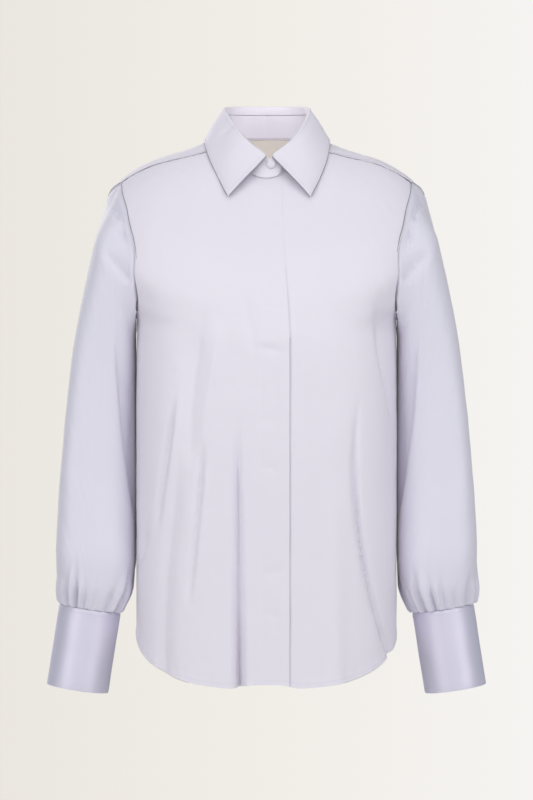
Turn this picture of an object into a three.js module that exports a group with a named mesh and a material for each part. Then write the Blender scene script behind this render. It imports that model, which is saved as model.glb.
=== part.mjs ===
// Balloon sleeve blouse in satin, filled out as if an invisible figure wore it.
// Millimetres, +Z up. The front faces -Y and the wearer's left is +X. The origin is the middle
// of the neck opening, level with the tops of the shoulders, where the wearer holds it up.
import * as THREE from "three";

// ---------- Driving sizes ----------
const CLOTH = 1.5; // a single wall of satin
const INTERLINED = 1.8; // collar, stand and cuffs, which have an interlining
const SEAM_GAP = 0.3; // between two pieces that are sewn edge to edge
const LAP_STEP = 1.4; // how far each of two lapped layers leaves their common surface

const PLACKET_TOP_X = 19.5; // edge of the front that lies on top, at the neck
const PLACKET_HEM_X = 29; // the same edge at the hem
const UNDERLAP = 38; // how far the front beneath reaches back under it
const CLOSURE_X = 3.5; // line of the buttonholes at the neck

const BUTTON_RADIUS = 6;
const BUTTON_HEIGHT = 3;
const GATHERS = 19; // round each sleeve, above its cuff
const CUFF_RADIUS = 40.2;
const CUFF_LAP = 24; // overlap of the cuff's two ends, along its edge
const HEM_RISE = 5; // of the front's hem at its middle
const HEM_RISE_END = { from: 16, to: 44 }; // where that rise fades, from the middle outwards

const COLOURS = { satin: 0xdedae8, button: 0xdcd6e6, label: 0xe6e0d2 };
const DEG = Math.PI / 180;

// ---------- Numbers along a table ----------
const table = (columns, rows) =>
  rows.map((row) => Object.fromEntries(columns.map((name, i) => [name, row[i]])));

const clamp = (x, low, high) => Math.min(high, Math.max(low, x));
const ramp = (x, from, to) => THREE.MathUtils.smoothstep((x - from) / (to - from), 0, 1);

/** A smooth curve through values at 0, 1, 2..., which never swings past them. */
function through(values) {
  const rise = values.slice(1).map((value, i) => value - values[i]);
  const slope = values.map((_, i) => {
    const before = rise[i - 1] ?? rise[i];
    const after = rise[i] ?? rise[i - 1];
    return before * after <= 0 ? 0 : (2 * before * after) / (before + after);
  });
  return (place) => {
    const i = clamp(Math.floor(place), 0, values.length - 2);
    const t = place - i;
    return (
      values[i] +
      t * slope[i] +
      t * t * (3 * rise[i] - 2 * slope[i] - slope[i + 1]) +
      t * t * t * (slope[i] + slope[i + 1] - 2 * rise[i])
    );
  };
}

/** One such curve for each column of a table. */
const columnsOf = (rows) =>
  Object.fromEntries(Object.keys(rows[0]).map((name) => [name, through(rows.map((row) => row[name]))]));

// ---------- The body's form ----------
// Rings from the neck down to the hem. Each has its half width, its depth before and behind the
// side seams, its height in front, at the sides and behind, how square its front and back are
// (2 is an ellipse), and how late its edge turns up towards the sides.
const BODY_RINGS = table(
  ["halfWidth", "front", "back", "frontZ", "sideZ", "backZ", "frontSquare", "backSquare", "turn"],
  [
    [62, 70, 62, -53, 3, 9, 2.0, 2.0, 2.0], // neck seam
    [108, 86, 84, -88, -14, -18, 2.1, 2.1, 2.0],
    [150, 99, 98, -124, -27.5, -56, 2.2, 2.2, 2.0],
    [190, 110, 105, -164, -53, -104, 2.3, 2.3, 2.0], // top of the armholes
    [209, 114, 108, -190, -80, -138, 2.3, 2.3, 2.0],
    [212, 118, 110, -216, -135, -175, 2.35, 2.35, 2.0],
    [190, 121, 112, -242, -195, -215, 2.45, 2.4, 2.0],
    [168, 123, 113, -268, -242, -256, 2.7, 2.5, 2.0], // underarm
    [168.6, 122, 112, -380, -360, -372, 2.9, 2.6, 2.0],
    [168.6, 117, 110, -540, -500, -530, 2.9, 2.6, 3.0],
    [168.6, 112, 107, -703.5, -641, -704, 2.8, 2.6, 3.4], // hem
  ],
);
const NECK = 0;
const UNDERARM = 7;
const HEM = BODY_RINGS.length - 1;
const bodyAt = columnsOf(BODY_RINGS);

/** A point of the smooth form: angle 0 is the front's middle and 90 degrees the wearer's left. */
function bodyForm(angle, ring) {
  const [s, c] = [Math.sin(angle), Math.cos(angle)];
  const face = c >= 0 ? "front" : "back";
  const square = bodyAt[face + "Square"](ring);
  const reach = (Math.abs(s) ** square + Math.abs(c) ** square) ** (-1 / square);
  const middleZ = bodyAt[face + "Z"](ring);
  return new THREE.Vector3(
    bodyAt.halfWidth(ring) * reach * s,
    -bodyAt[face](ring) * reach * c,
    middleZ + (bodyAt.sideZ(ring) - middleZ) * Math.abs(s) ** bodyAt.turn(ring),
  );
}

// ---------- Folds ----------
// Each runs through three points, seen from in front or behind. Its depth goes in at the top,
// grows to the middle and reaches the value at the end there; a ridge has a negative depth.
const FOLD_COLUMNS = ["x0", "z0", "x1", "z1", "x2", "z2", "width", "depth", "endDepth"];
const FRONT_FOLDS = table(FOLD_COLUMNS, [
  [-74, -219, -97, -330, -110, -500, 15, 6, 3],
  [-64, -250, -82, -401, -92, -548, 13, -6, -2],
  [-97, -275, -134, -447, -158, -543, 12, -5, -3],
  [-37, -376, -35, -502, -34, -706, 11, 4, 10],
  [-140, -480, -128, -580, -120, -700, 15, 4, 5],
  [117, -250, 120, -401, 150, -645, 14, 6, 5],
  [136, -221, 155, -300, 166, -376, 10, 5, 2],
  [84, -420, 86, -540, 88, -700, 16, -3, -5],
]);
const BACK_FOLDS = table(FOLD_COLUMNS, [
  [-88, -150, -96, -330, -84, -520, 17, 5, 3],
  [70, -170, 92, -380, 100, -690, 16, 5, 7],
  [-30, -330, -38, -500, -44, -700, 14, 4, 8],
  [24, -420, 20, -560, 18, -700, 15, -4, -5],
  [-132, -300, -138, -460, -128, -640, 14, 6, 4],
  [140, -290, 146, -420, 140, -560, 14, 5, 3],
]);

/** How deep the folds are at x, z. */
function foldDepth(folds, x, z) {
  let depth = 0;
  for (const fold of folds) {
    const place = (z - fold.z0) / (fold.z2 - fold.z0);
    if (place <= 0 || place >= 1.25) continue;
    const turn = (fold.z1 - fold.z0) / (fold.z2 - fold.z0);
    const bend = (fold.x1 - fold.x0 - turn * (fold.x2 - fold.x0)) / (turn * (turn - 1));
    const middle = fold.x0 + place * (fold.x2 - fold.x0) + bend * place * (place - 1);
    const size = place < turn
      ? fold.depth * ramp(place, 0, turn)
      : fold.depth + (fold.endDepth - fold.depth) * ramp(place, turn, 1);
    const fade = 1 - ramp(place, 1, 1.25);
    depth += size * fade * Math.exp(-(((x - middle) / fold.width) ** 2));
  }
  return depth;
}

/** A surface's point and outward normal, by small steps along its two coordinates. */
function skin(surface, a, b, low, high) {
  const step = 1e-3;
  const [b0, b1] = [Math.max(low, b - step), Math.min(high, b + step)];
  const across = surface(a + step, b).sub(surface(a - step, b));
  const down = surface(a, b1).sub(surface(a, b0));
  return { point: surface(a, b), normal: down.cross(across).normalize() };
}

/** The body with its folds, which die out at the side seams, and its hem's rise at the closure. */
function body(angle, ring) {
  const { point, normal } = skin(bodyForm, angle, ring, NECK, HEM);
  const folds = normal.y < 0 ? FRONT_FOLDS : BACK_FOLDS;
  const depth = foldDepth(folds, point.x, point.z) * ramp(Math.abs(normal.y), 0.05, 0.5);
  if (normal.y < 0) {
    const inwards = 1 - ramp(Math.abs(point.x), HEM_RISE_END.from, HEM_RISE_END.to);
    point.z += HEM_RISE * ramp(ring, HEM - 1, HEM) * inwards;
  }
  return point.addScaledVector(normal, -depth);
}

// ---------- Seams on the body ----------
// A place on the body is a Vector2 of an angle and a ring.
const place = (degrees, ring) => new THREE.Vector2(degrees * DEG, ring);

/** The place on the form that is nearest to a point on the +X side. */
function nearestPlace([x, y, z]) {
  const target = new THREE.Vector3(x, y, z);
  const best = new THREE.Vector2();
  let nearest = Infinity;
  const look = (angle, ring) => {
    const gap = bodyForm(angle, ring).distanceTo(target);
    if (gap < nearest) {
      nearest = gap;
      best.set(angle, ring);
    }
  };
  for (let degrees = 0; degrees <= 180; degrees += 4)
    for (let ring = 0; ring <= HEM; ring += 0.25) look(degrees * DEG, ring);
  for (let reach = 1; reach > 1e-4; reach /= 1.5) {
    const { x: angle, y: ring } = best.clone();
    for (const i of [-1, 0, 1])
      for (const j of [-1, 0, 1])
        look(angle + i * reach * 4 * DEG, clamp(ring + j * reach * 0.25, 0, HEM));
  }
  return best;
}

/** A line through places, as a curve in space that can be divided into even lengths. */
class Seam extends THREE.Curve {
  constructor(places) {
    super();
    this.spline = new THREE.SplineCurve(places);
    this.arcLengthDivisions = 400;
  }
  getPoint(t) {
    const at = this.spline.getPoint(t);
    return bodyForm(at.x, at.y);
  }
  places(count) {
    return Array.from({ length: count + 1 }, (_, i) =>
      this.spline.getPoint(this.getUtoTmapping(i / count)),
    );
  }
}

const mirrored = (places) => places.map((at) => new THREE.Vector2(-at.x, at.y));

// The armhole of the wearer's left side, from the underarm up the front and down the back.
const ARMHOLE_POINTS = [
  [168, 0, -242],
  [165.5, -58, -225],
  [164.5, -77, -198],
  [167.5, -80, -162],
  [173.5, -74, -126],
  [181, -57, -90],
  [189.5, -22, -55], // front yoke seam
  [202, -2, -66],
  [207.5, 15, -80],
  [205, 34, -97],
  [198, 48, -114], // back yoke seam
  [190, 58, -140],
  [182, 62, -170],
  [173, 52, -207],
  [168, 0, -242],
];
const YOKE_FRONT_POINT = 6;
const YOKE_BACK_POINT = 10;

// How many steps each seam is divided into: two pieces on a seam share its points.
const STEPS = { shoulder: 7, frontNeck: 7, backNeck: 16, armhole: 9, yoke: 6, side: 11 };
const FRONT_COLUMNS = STEPS.frontNeck + STEPS.shoulder;
const BACK_COLUMNS = STEPS.backNeck + 2 * STEPS.shoulder;

const armholePlaces = ARMHOLE_POINTS.map(nearestPlace);
armholePlaces[0] = place(90, UNDERARM);
armholePlaces[armholePlaces.length - 1] = place(90, UNDERARM);
const YOKE_NECK_ANGLE = 60;

const armholeFront = new Seam(armholePlaces.slice(0, YOKE_FRONT_POINT + 1))
  .places(STEPS.armhole)
  .reverse();
const armholeYoke = new Seam(
  armholePlaces.slice(YOKE_FRONT_POINT, YOKE_BACK_POINT + 1),
).places(STEPS.yoke);
const armholeBack = new Seam(armholePlaces.slice(YOKE_BACK_POINT)).places(STEPS.armhole);
const shoulder = new Seam([
  place(YOKE_NECK_ANGLE, NECK),
  place(69, 1),
  place(74.5, 2),
  armholePlaces[YOKE_FRONT_POINT],
]).places(STEPS.shoulder);
const yokeBack = new Seam([
  armholePlaces[YOKE_BACK_POINT],
  nearestPlace([150, 78, -106]),
  nearestPlace([80, 98, -101]),
  place(180, nearestPlace([0, 104, -99]).y),
  ...[nearestPlace([80, 98, -101]), nearestPlace([150, 78, -106])].map(
    (at) => new THREE.Vector2(2 * Math.PI - at.x, at.y),
  ),
  new THREE.Vector2(
    2 * Math.PI - armholePlaces[YOKE_BACK_POINT].x,
    armholePlaces[YOKE_BACK_POINT].y,
  ),
]).places(BACK_COLUMNS);
const side = new Seam([place(90, UNDERARM), place(90, 8), place(90, 9), place(90, HEM)]).places(
  STEPS.side,
);
const ring = (fromDegrees, toDegrees, row, count) =>
  new Seam(
    Array.from({ length: 13 }, (_, i) =>
      place(fromDegrees + ((toDegrees - fromDegrees) * i) / 12, row),
    ),
  ).places(count);

/** The x of the lapped front's edge on a ring. */
const placketX = (row) =>
  THREE.MathUtils.lerp(PLACKET_TOP_X, PLACKET_HEM_X, ramp(row, NECK, UNDERARM));

// Under 1, it crowds a front's rows towards the foot of its armhole, which is nearly level.
const FOOT_CROWDING = 0.7;

/** A front's middle edge, from neck to hem, this far from the placket's edge. */
function middleEdge(offset) {
  const rows = [];
  for (let i = 0; i <= STEPS.armhole; i++) rows.push(UNDERARM * (i / STEPS.armhole) ** FOOT_CROWDING);
  side.slice(1).forEach((at) => rows.push(at.y));
  return rows.map((row) => {
    const x = placketX(row) + offset;
    return new THREE.Vector2(Math.asin(x / bodyAt.halfWidth(row)), row);
  });
}

// ---------- Walls ----------
/** A row of a wall: its outer and inner points, and where each lies along the row, 0 to 1. */
const rowOf = (outer, inner, along = outer.map((_, i) => i / (outer.length - 1))) => ({
  outer,
  inner,
  along,
});

/** Triangles between two lines of points that may have different counts. */
function zip(a, b, alongA, alongB) {
  const triangles = [];
  let [i, j] = [0, 0];
  while (i < a.length - 1 || j < b.length - 1) {
    const stepA = j === b.length - 1 || (i < a.length - 1 && alongA[i + 1] <= alongB[j + 1]);
    triangles.push(stepA ? [a[i], b[j], a[i + 1]] : [a[i], b[j], b[j + 1]]);
    if (stepA) i++;
    else j++;
  }
  return triangles;
}

/** One closed body from rows of outer and inner points; a round wall's rows close on themselves. */
function wall(rows, round = false) {
  const points = [];
  const add = (list) => list.map((point) => points.push(point) - 1);
  const lines = rows.map(({ outer, inner, along }) => {
    const line = { outer: add(outer), inner: add(inner), along: [...along] };
    if (round) {
      line.outer.push(line.outer[0]);
      line.inner.push(line.inner[0]);
      line.along.push(1 + line.along[0]);
    }
    return line;
  });
  const triangles = [];
  for (let r = 0; r + 1 < lines.length; r++) {
    const [a, b] = [lines[r], lines[r + 1]];
    triangles.push(...zip(a.outer, b.outer, a.along, b.along));
    triangles.push(...zip(b.inner, a.inner, b.along, a.along));
  }
  const [first, last] = [lines[0], lines[lines.length - 1]];
  triangles.push(...zip(first.inner, first.outer, first.along, first.along));
  triangles.push(...zip(last.outer, last.inner, last.along, last.along));
  if (!round) {
    const at = lines.map((_, i) => i);
    const edge = (skinName, c) => lines.map((line) => line[skinName].at(c));
    triangles.push(...zip(edge("outer", 0), edge("inner", 0), at, at));
    triangles.push(...zip(edge("inner", -1), edge("outer", -1), at, at));
  }
  return closedGeometry(points, triangles);
}

/** The geometry of a closed body, with its faces pointing out whichever way it was wound. */
function closedGeometry(points, triangles) {
  let volume = 0;
  for (const [a, b, c] of triangles)
    volume += points[a].dot(new THREE.Vector3().crossVectors(points[b], points[c]));
  const index = volume > 0 ? triangles.flat() : triangles.flatMap(([a, b, c]) => [a, c, b]);
  const geometry = new THREE.BufferGeometry().setFromPoints(points);
  geometry.setIndex(index);
  geometry.computeVertexNormals();
  return geometry;
}

/** Moves the first and last rows, and each row's ends, back from the seams by half the gap. */
function trim(rows, { round = false, first = true, last = true } = {}) {
  const back = (point, towards) => {
    const way = towards.clone().sub(point);
    return point.clone().addScaledVector(way, SEAM_GAP / 2 / way.length());
  };
  for (const name of ["outer", "inner"]) {
    const lines = rows.map((row) => row[name]);
    const trimmed = lines.map((line) => [...line]);
    if (!round)
      lines.forEach((line, r) => {
        trimmed[r][0] = back(line[0], line[1]);
        trimmed[r][line.length - 1] = back(line.at(-1), line.at(-2));
      });
    const trimRow = (r, next) =>
      trimmed[r].forEach((point, c) => {
        const other = lines[next][Math.min(c, lines[next].length - 1)];
        trimmed[r][c] = lines[next].length === lines[r].length ? back(point, other) : point;
      });
    if (first) trimRow(0, 1);
    if (last) trimRow(rows.length - 1, rows.length - 2);
    rows.forEach((row, r) => (row[name] = trimmed[r]));
  }
  return rows;
}

// ---------- Armholes ----------
// The wall's edge round an armhole points at the armhole's middle, so body and sleeve meet there.
const ARMHOLE_Y = -2;
const ARMHOLE_Z = -150;
const rimOf = (point) => new THREE.Vector3(0, ARMHOLE_Y - point.y, ARMHOLE_Z - point.z).normalize();

// ---------- Panels of the body ----------
/** How far a line of places bows away from the straight line between its ends. */
const bowOf = (line, i) => line[i].clone().sub(line[0].clone().lerp(line.at(-1), i / (line.length - 1)));

/** A panel between four lines of places, each row straight but for the bows of its two ends. */
function panel(top, bottom, start, end, { lift = () => 0, startRim = 0, endRim = 0, last = false } = {}) {
  const [columns, rowCount] = [top.length - 1, start.length - 1];
  const rows = start.map((_, r) => {
    const v = r / rowCount;
    const points = top.map((__, c) => {
      const u = c / columns;
      const at = start[r].clone().lerp(end[r], u);
      at.addScaledVector(bowOf(top, c), (1 - v) ** 3);
      at.addScaledVector(bowOf(bottom, c), v ** 2);
      const { point, normal } = skin(body, at.x, at.y, NECK, HEM);
      point.y -= lift(point.x, at.y);
      const onRim = (c === 0 && r < startRim) || (c === columns && r < endRim);
      const inward = onRim ? rimOf(point) : normal.negate();
      return { outer: point, inner: point.clone().addScaledVector(inward, CLOTH) };
    });
    return rowOf(
      points.map((at) => at.outer),
      points.map((at) => at.inner),
    );
  });
  return trim(rows, { last });
}

const degreesAt = (x, row) => Math.asin(x / bodyAt.halfWidth(row)) / DEG;
const overLift = (x, row) =>
  LAP_STEP * ramp(x, placketX(row) - UNDERLAP - 26, placketX(row) - UNDERLAP - 3);
const underLift = (x, row) =>
  -LAP_STEP * (1 - ramp(x, placketX(row) + 3, placketX(row) + 26));

// The neck seam's places, from the lapped front's edge round the back to the other front's edge.
const NECK_OVER = ring(degreesAt(PLACKET_TOP_X, NECK), -YOKE_NECK_ANGLE, NECK, STEPS.frontNeck);
const NECK_UNDER = ring(
  degreesAt(PLACKET_TOP_X - UNDERLAP, NECK),
  YOKE_NECK_ANGLE,
  NECK,
  STEPS.frontNeck,
);
const NECK_BACK = ring(YOKE_NECK_ANGLE, 360 - YOKE_NECK_ANGLE, NECK, STEPS.backNeck);

function frontRight() {
  const top = [...NECK_OVER, ...mirrored(shoulder).slice(1)];
  const bottom = ring(degreesAt(PLACKET_HEM_X, HEM), -90, HEM, FRONT_COLUMNS);
  const end = [...mirrored(armholeFront), ...mirrored(side).slice(1)];
  return wall(
    panel(top, bottom, middleEdge(0), end, { lift: overLift, endRim: STEPS.armhole + 1 }),
  );
}

function frontLeft() {
  const top = [...NECK_UNDER, ...shoulder.slice(1)];
  const bottom = ring(degreesAt(PLACKET_HEM_X - UNDERLAP, HEM), 90, HEM, FRONT_COLUMNS);
  const end = [...armholeFront, ...side.slice(1)];
  return wall(
    panel(top, bottom, middleEdge(-UNDERLAP), end, {
      lift: underLift,
      endRim: STEPS.armhole + 1,
    }),
  );
}

const turned = (places) => places.map((at) => new THREE.Vector2(2 * Math.PI - at.x, at.y));

function yokeRows() {
  const top = [
    ...[...shoulder].reverse(),
    ...NECK_BACK.slice(1),
    ...turned(shoulder).slice(1),
  ];
  const rim = STEPS.yoke + 1;
  return panel(top, yokeBack, armholeYoke, turned(armholeYoke), {
    startRim: rim,
    endRim: rim,
    last: true,
  });
}

function back() {
  const start = [...armholeBack, ...side.slice(1)];
  const bottom = ring(90, 270, HEM, BACK_COLUMNS);
  const rim = STEPS.armhole + 1;
  return wall(panel(yokeBack, bottom, start, turned(start), { startRim: rim, endRim: rim }));
}

// ---------- Sleeves ----------
// Sections from under the armhole to the cuff seam: the outermost and innermost points seen from
// in front, the depth before and behind them, and the y of their middle.
const SLEEVE_RINGS = table(
  ["outerX", "outerZ", "innerX", "innerZ", "front", "back", "middleY"],
  [
    [222, -133, 170.5, -266, 68, 62, -2],
    [236, -195, 169.8, -300, 62, 61, -2],
    [246, -250, 169.8, -335, 58, 60, -2],
    [256, -330, 169.8, -385, 56, 59, -3],
    [264, -410, 169.8, -445, 56, 60, -4],
    [270, -484, 169.8, -500, 59, 62, -6],
    [272, -530, 169.8, -538, 60, 62, -8],
    [271, -572, 174, -577, 55, 56, -9],
    [268.5, -601, 188.8, -613.5, 41, 41, -10], // cuff seam
  ],
);
const SLEEVE_FRONT_FOLDS = table(FOLD_COLUMNS, [
  [208, -84, 193, -110, 178, -134, 7, 4, 5],
  [202, -140, 192, -160, 181, -178, 9, 3, 3],
  [193, -235, 183, -364, 172, -470, 8, 6, 3],
  [236, -170, 250, -300, 256, -430, 11, -2, -2],
]);
const SLEEVE_BACK_FOLDS = table(FOLD_COLUMNS, [
  [200, -175, 206, -270, 214, -390, 11, 4, 3],
  [240, -330, 244, -430, 240, -560, 12, 4, 3],
  [196, -350, 192, -450, 204, -570, 11, 5, 3],
]);
const CUFF_SEAM = SLEEVE_RINGS.length;
const GATHER_TOP = 7; // ring above which nothing is gathered
const GATHER_HEIGHT = 0.075; // of the sleeve's radius
const PLAIN_SLEEVE_ROWS = [0.33, 0.67, 1, 1.6, 2.3, 3, 3.7, 4.4, 5.1, 5.8, 6.5, GATHER_TOP];
const GATHERED_SLEEVE_ROWS = [7.5, 8, 8.45, 8.8, CUFF_SEAM];
const SLEEVE_SQUARE = 3.6; // how square a sleeve's section is; 2 is an ellipse
const INNER_BEHIND = 18; // how far a sleeve's inner side lies behind its middle
const sleeveAt = columnsOf(SLEEVE_RINGS);

/** A sleeve's section: turn 0 is its outermost point and 90 degrees its front. */
function sleeveSection(turn, row) {
  const at = Object.fromEntries(Object.entries(sleeveAt).map(([name, f]) => [name, f(row - 1)]));
  const middle = new THREE.Vector3(
    (at.outerX + at.innerX) / 2,
    at.middleY,
    (at.outerZ + at.innerZ) / 2,
  );
  const outward = new THREE.Vector3(at.outerX, at.middleY, at.outerZ).sub(middle);
  const [cos, sin] = [Math.cos(turn), Math.sin(turn)];
  const depth = sin > 0 ? at.front : at.back;
  const round = ramp(row, GATHER_TOP, CUFF_SEAM);
  const square = THREE.MathUtils.lerp(SLEEVE_SQUARE, 2, round);
  const reach = (Math.abs(cos) ** square + Math.abs(sin) ** square) ** (-1 / square);
  const point = middle.clone().addScaledVector(outward, reach * cos);
  point.y -= depth * reach * sin;
  point.y += INNER_BEHIND * (1 - round) * Math.max(0, -cos) ** 2;
  return { point, middle };
}

/** The gathers' spacing, their length and their height all vary round the sleeve. */
const unevenTurn = (turn, row, seed) =>
  turn +
  ramp(row, GATHER_TOP - 3, GATHER_TOP) *
    (0.07 * Math.sin(2 * turn + seed) + 0.035 * Math.sin(5 * turn + 2 * seed));
function gather(turn, row, seed) {
  const top = GATHER_TOP + 0.45 + 0.4 * Math.sin(3 * turn + seed) * Math.sin(7 * turn);
  const height = 0.75 + 0.25 * Math.sin(4 * turn + 3 * seed);
  const drawnIn = 1 - 0.55 * ramp(row, CUFF_SEAM - 0.3, CUFF_SEAM);
  return GATHER_HEIGHT * height * ramp(row, top, CUFF_SEAM - 0.3) * drawnIn * Math.cos(GATHERS * turn);
}

/** One sleeve on the +X side, from its armhole's points; the right one is mirrored. */
function sleeve(sign, seed) {
  const onSide = (at) => {
    const point = body(sign * at.x, at.y);
    point.x *= sign;
    return point;
  };
  const loop = [
    ...armholeFront,
    ...[...armholeBack].reverse().slice(1),
    ...[...armholeYoke].reverse().slice(1, -1),
  ].map(onSide);
  const middle = loop
    .reduce((sum, point) => sum.add(point), new THREE.Vector3())
    .divideScalar(loop.length);
  const up = new THREE.Vector3(20, 0, 82).normalize();
  const turns = loop.map((point) => {
    const arm = point.clone().sub(middle);
    return Math.atan2(-arm.y / 68, arm.dot(up) / 84);
  });
  for (let i = 1; i < turns.length; i++) while (turns[i] < turns[i - 1]) turns[i] += 2 * Math.PI;
  const start = turns[0];

  const loopAt = (turn) => {
    const along = THREE.MathUtils.euclideanModulo(turn - start, 2 * Math.PI) + start;
    const ends = [...turns, start + 2 * Math.PI];
    const i = clamp(ends.findIndex((end) => end > along) - 1, 0, loop.length - 1);
    const part = (along - ends[i]) / (ends[i + 1] - ends[i]);
    return loop[i].clone().lerp(loop[(i + 1) % loop.length], part);
  };
  const surface = (turn, row) => {
    const section = sleeveSection(turn, Math.max(row, 1));
    let { point, middle: centre } = section;
    if (row < 1) {
      const step = sleeveSection(turn, 1.01).point.sub(point).divideScalar(0.01);
      const from = loopAt(turn);
      const chord = point.clone().sub(from);
      const [t, s] = [row, 1 - row];
      point = from
        .multiplyScalar(s * s * (1 + 2 * t))
        .addScaledVector(section.point, t * t * (3 - 2 * t))
        .addScaledVector(chord, t * s * s)
        .addScaledVector(step, -t * t * s);
      centre = middle.clone().lerp(section.middle, row);
    }
    const arm = point.clone().sub(centre);
    const facing = -arm.y / arm.length();
    const folds = facing > 0 ? SLEEVE_FRONT_FOLDS : SLEEVE_BACK_FOLDS;
    const depth = foldDepth(folds, point.x, point.z) * ramp(Math.abs(facing), 0.05, 0.5);
    return point.addScaledVector(arm, -depth * ramp(row, 0, 0.3) / arm.length());
  };
  const gathered = (evenTurn, row) => {
    const turn = unevenTurn(evenTurn, row, seed);
    const point = surface(turn, row);
    if (row <= GATHER_TOP) return point;
    const { middle: centre } = sleeveSection(turn, row);
    return centre.lerp(point, 1 + gather(evenTurn, row, seed));
  };

  const rows = [
    {
      outer: loop,
      inner: loop.map((point) => point.clone().addScaledVector(rimOf(point), CLOTH)),
      along: turns.map((turn) => (turn - start) / (2 * Math.PI)),
    },
  ];
  const addRow = (row, rowTurns) => {
    const at = rowTurns.map((turn) => {
      const { point, normal } = skin(gathered, turn, row, 0, CUFF_SEAM);
      return { outer: point, inner: point.clone().addScaledVector(normal, CLOTH) };
    });
    const along = rowTurns.map((turn) => (turn - start) / (2 * Math.PI));
    rows.push(rowOf(at.map((p) => p.outer), at.map((p) => p.inner), along));
  };
  const gatherTurns = Array.from(
    { length: 4 * GATHERS },
    (_, i) => start + (2 * Math.PI * i) / (4 * GATHERS),
  );
  PLAIN_SLEEVE_ROWS.forEach((row) => addRow(row, turns));
  GATHERED_SLEEVE_ROWS.forEach((row) => addRow(row, gatherTurns));
  for (const name of ["outer", "inner"])
    rows[0][name] = rows[0][name].map((point) => point.clone().setX(point.x + SEAM_GAP));
  return wall(trim(rows, { round: true, first: false }).map((row) => mirrorRow(row, sign)), true);
}

const mirrorRow = ({ outer, inner, along }, sign) => {
  const flip = (point) => point.clone().setX(point.x * sign);
  return { outer: outer.map(flip), inner: inner.map(flip), along };
};

// ---------- Bands with lapped ends: the cuffs and the collar's stand ----------
/** A band between two rings, its first end lapped over its last; outAt gives the way outward. */
function band(turns, rowCount, pointAt, outAt, thickness) {
  const rows = Array.from({ length: rowCount + 1 }, (_, r) => {
    const outer = turns.map((turn, i) => pointAt(turn, r / rowCount, i / (turns.length - 1)));
    const inner = outer.map((point, i) =>
      point.clone().addScaledVector(outAt(turns[i], r / rowCount), -thickness),
    );
    return rowOf(outer, inner);
  });
  return wall(rows);
}

/** How far a lapped band stands off at a turn past its first end or before its last. */
const lapOff = (fromFirst, fromLast, lap) =>
  LAP_STEP * (1 - ramp(fromFirst, lap, 2 * lap) - (1 - ramp(fromLast, lap, 2 * lap)));

const CUFF_DEPTH = 105;
const CUFF_STEPS = 40;
const CUFF_OPENING = 250 * DEG; // where the cuff's upper end lies, towards the back
const CUFF_BUTTONS = [0.28, 0.72]; // down its depth

function cuffFrame() {
  const { point: outer, middle } = sleeveSection(0, CUFF_SEAM);
  const outward = outer.clone().sub(middle).normalize();
  const down = new THREE.Vector3(outward.z, 0, -outward.x);
  const top = middle.addScaledVector(down, SEAM_GAP);
  return { top, outward, down };
}
const cuffOut = (turn) => {
  const { outward } = cuffFrame();
  return outward.multiplyScalar(Math.cos(turn)).add(new THREE.Vector3(0, -Math.sin(turn), 0));
};
const cuffPoint = (turn, part, off) =>
  cuffFrame().top
    .addScaledVector(cuffFrame().down, part * CUFF_DEPTH)
    .addScaledVector(cuffOut(turn), CUFF_RADIUS + off);

function cuff(sign) {
  const lap = CUFF_LAP / CUFF_RADIUS;
  const whole = 2 * Math.PI + lap;
  const turns = Array.from({ length: CUFF_STEPS + 1 }, (_, i) => CUFF_OPENING - (whole * i) / CUFF_STEPS);
  const point = (turn, part, along) =>
    cuffPoint(turn, part, lapOff(along * whole, (1 - along) * whole, lap));
  const flip = (p) => p.setX(p.x * sign);
  return band(turns, 3, (...at) => flip(point(...at)), (turn) => flip(cuffOut(turn)), INTERLINED);
}

// ---------- Collar ----------
// Every 30 degrees from the front's middle to the back's: the roll line, how far the collar rises
// to it from the stand, how wide its roll is, and the lower edge, with its clearance over the body.
const COLLAR_RINGS = table(
  ["rollX", "rollY", "rollZ", "rise", "rollWidth", "edgeX", "edgeY", "edgeZ", "clearance", "bow"],
  [
    [0, -66, -26.7, 4, 7.5, 51, -84, -84.5, 7, 3],
    [27.5, -57, -3.5, 6, 6.5, 65, -74, -55, 3.2, 4],
    [45, -33, 21, 8, 5.6, 77.5, -46, -24.5, 3.2, 2],
    [53, 0, 41, 10, 5.2, 82, -2, -4, 3.2, 1],
    [48.5, 31, 46, 11, 5.2, 72, 42, -7, 3.2, 1],
    [29, 52, 48.5, 12, 5.2, 42, 74, -12, 3.2, 0],
    [0, 59, 49, 12, 5.2, 0, 85, -15, 3.2, 0],
  ],
);
const collarAt = columnsOf(COLLAR_RINGS);
const COLLAR_OPENING = 4; // degrees from the closure to the start of each leaf
const COLLAR_ROWS = 5; // below the roll
const STAND_END_RADIUS = 9; // of the lapped end's corners
const COLLAR_ENDS = [-COLLAR_OPENING * DEG, (COLLAR_OPENING - 360) * DEG];

/** Angle from the front's middle, 0 to 180 degrees, as a place in the collar's table. */
const collarPlace = (angle) => {
  const around = THREE.MathUtils.euclideanModulo(angle, 2 * Math.PI);
  return Math.min(around, 2 * Math.PI - around) / (30 * DEG);
};
const sideOf = (angle) => Math.sign(Math.sin(angle)) || 1;
const closureShift = (angle) => CLOSURE_X * ramp(Math.cos(angle), -0.2, 1);

function rollPoint(angle) {
  const at = collarPlace(angle);
  return new THREE.Vector3(
    sideOf(angle) * collarAt.rollX(at) + closureShift(angle),
    collarAt.rollY(at),
    collarAt.rollZ(at),
  );
}
const neckOut = (angle) => new THREE.Vector3(Math.sin(angle), -Math.cos(angle), 0);

function standPoint(angle, part, off) {
  const foot = bodyForm(angle, NECK);
  foot.z += 2 * SEAM_GAP;
  const top = rollPoint(angle).addScaledVector(neckOut(angle), INTERLINED);
  top.z -= collarAt.rise(collarPlace(angle));
  const point = foot.lerp(top, part);
  point.y -= off;
  return point;
}

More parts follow.
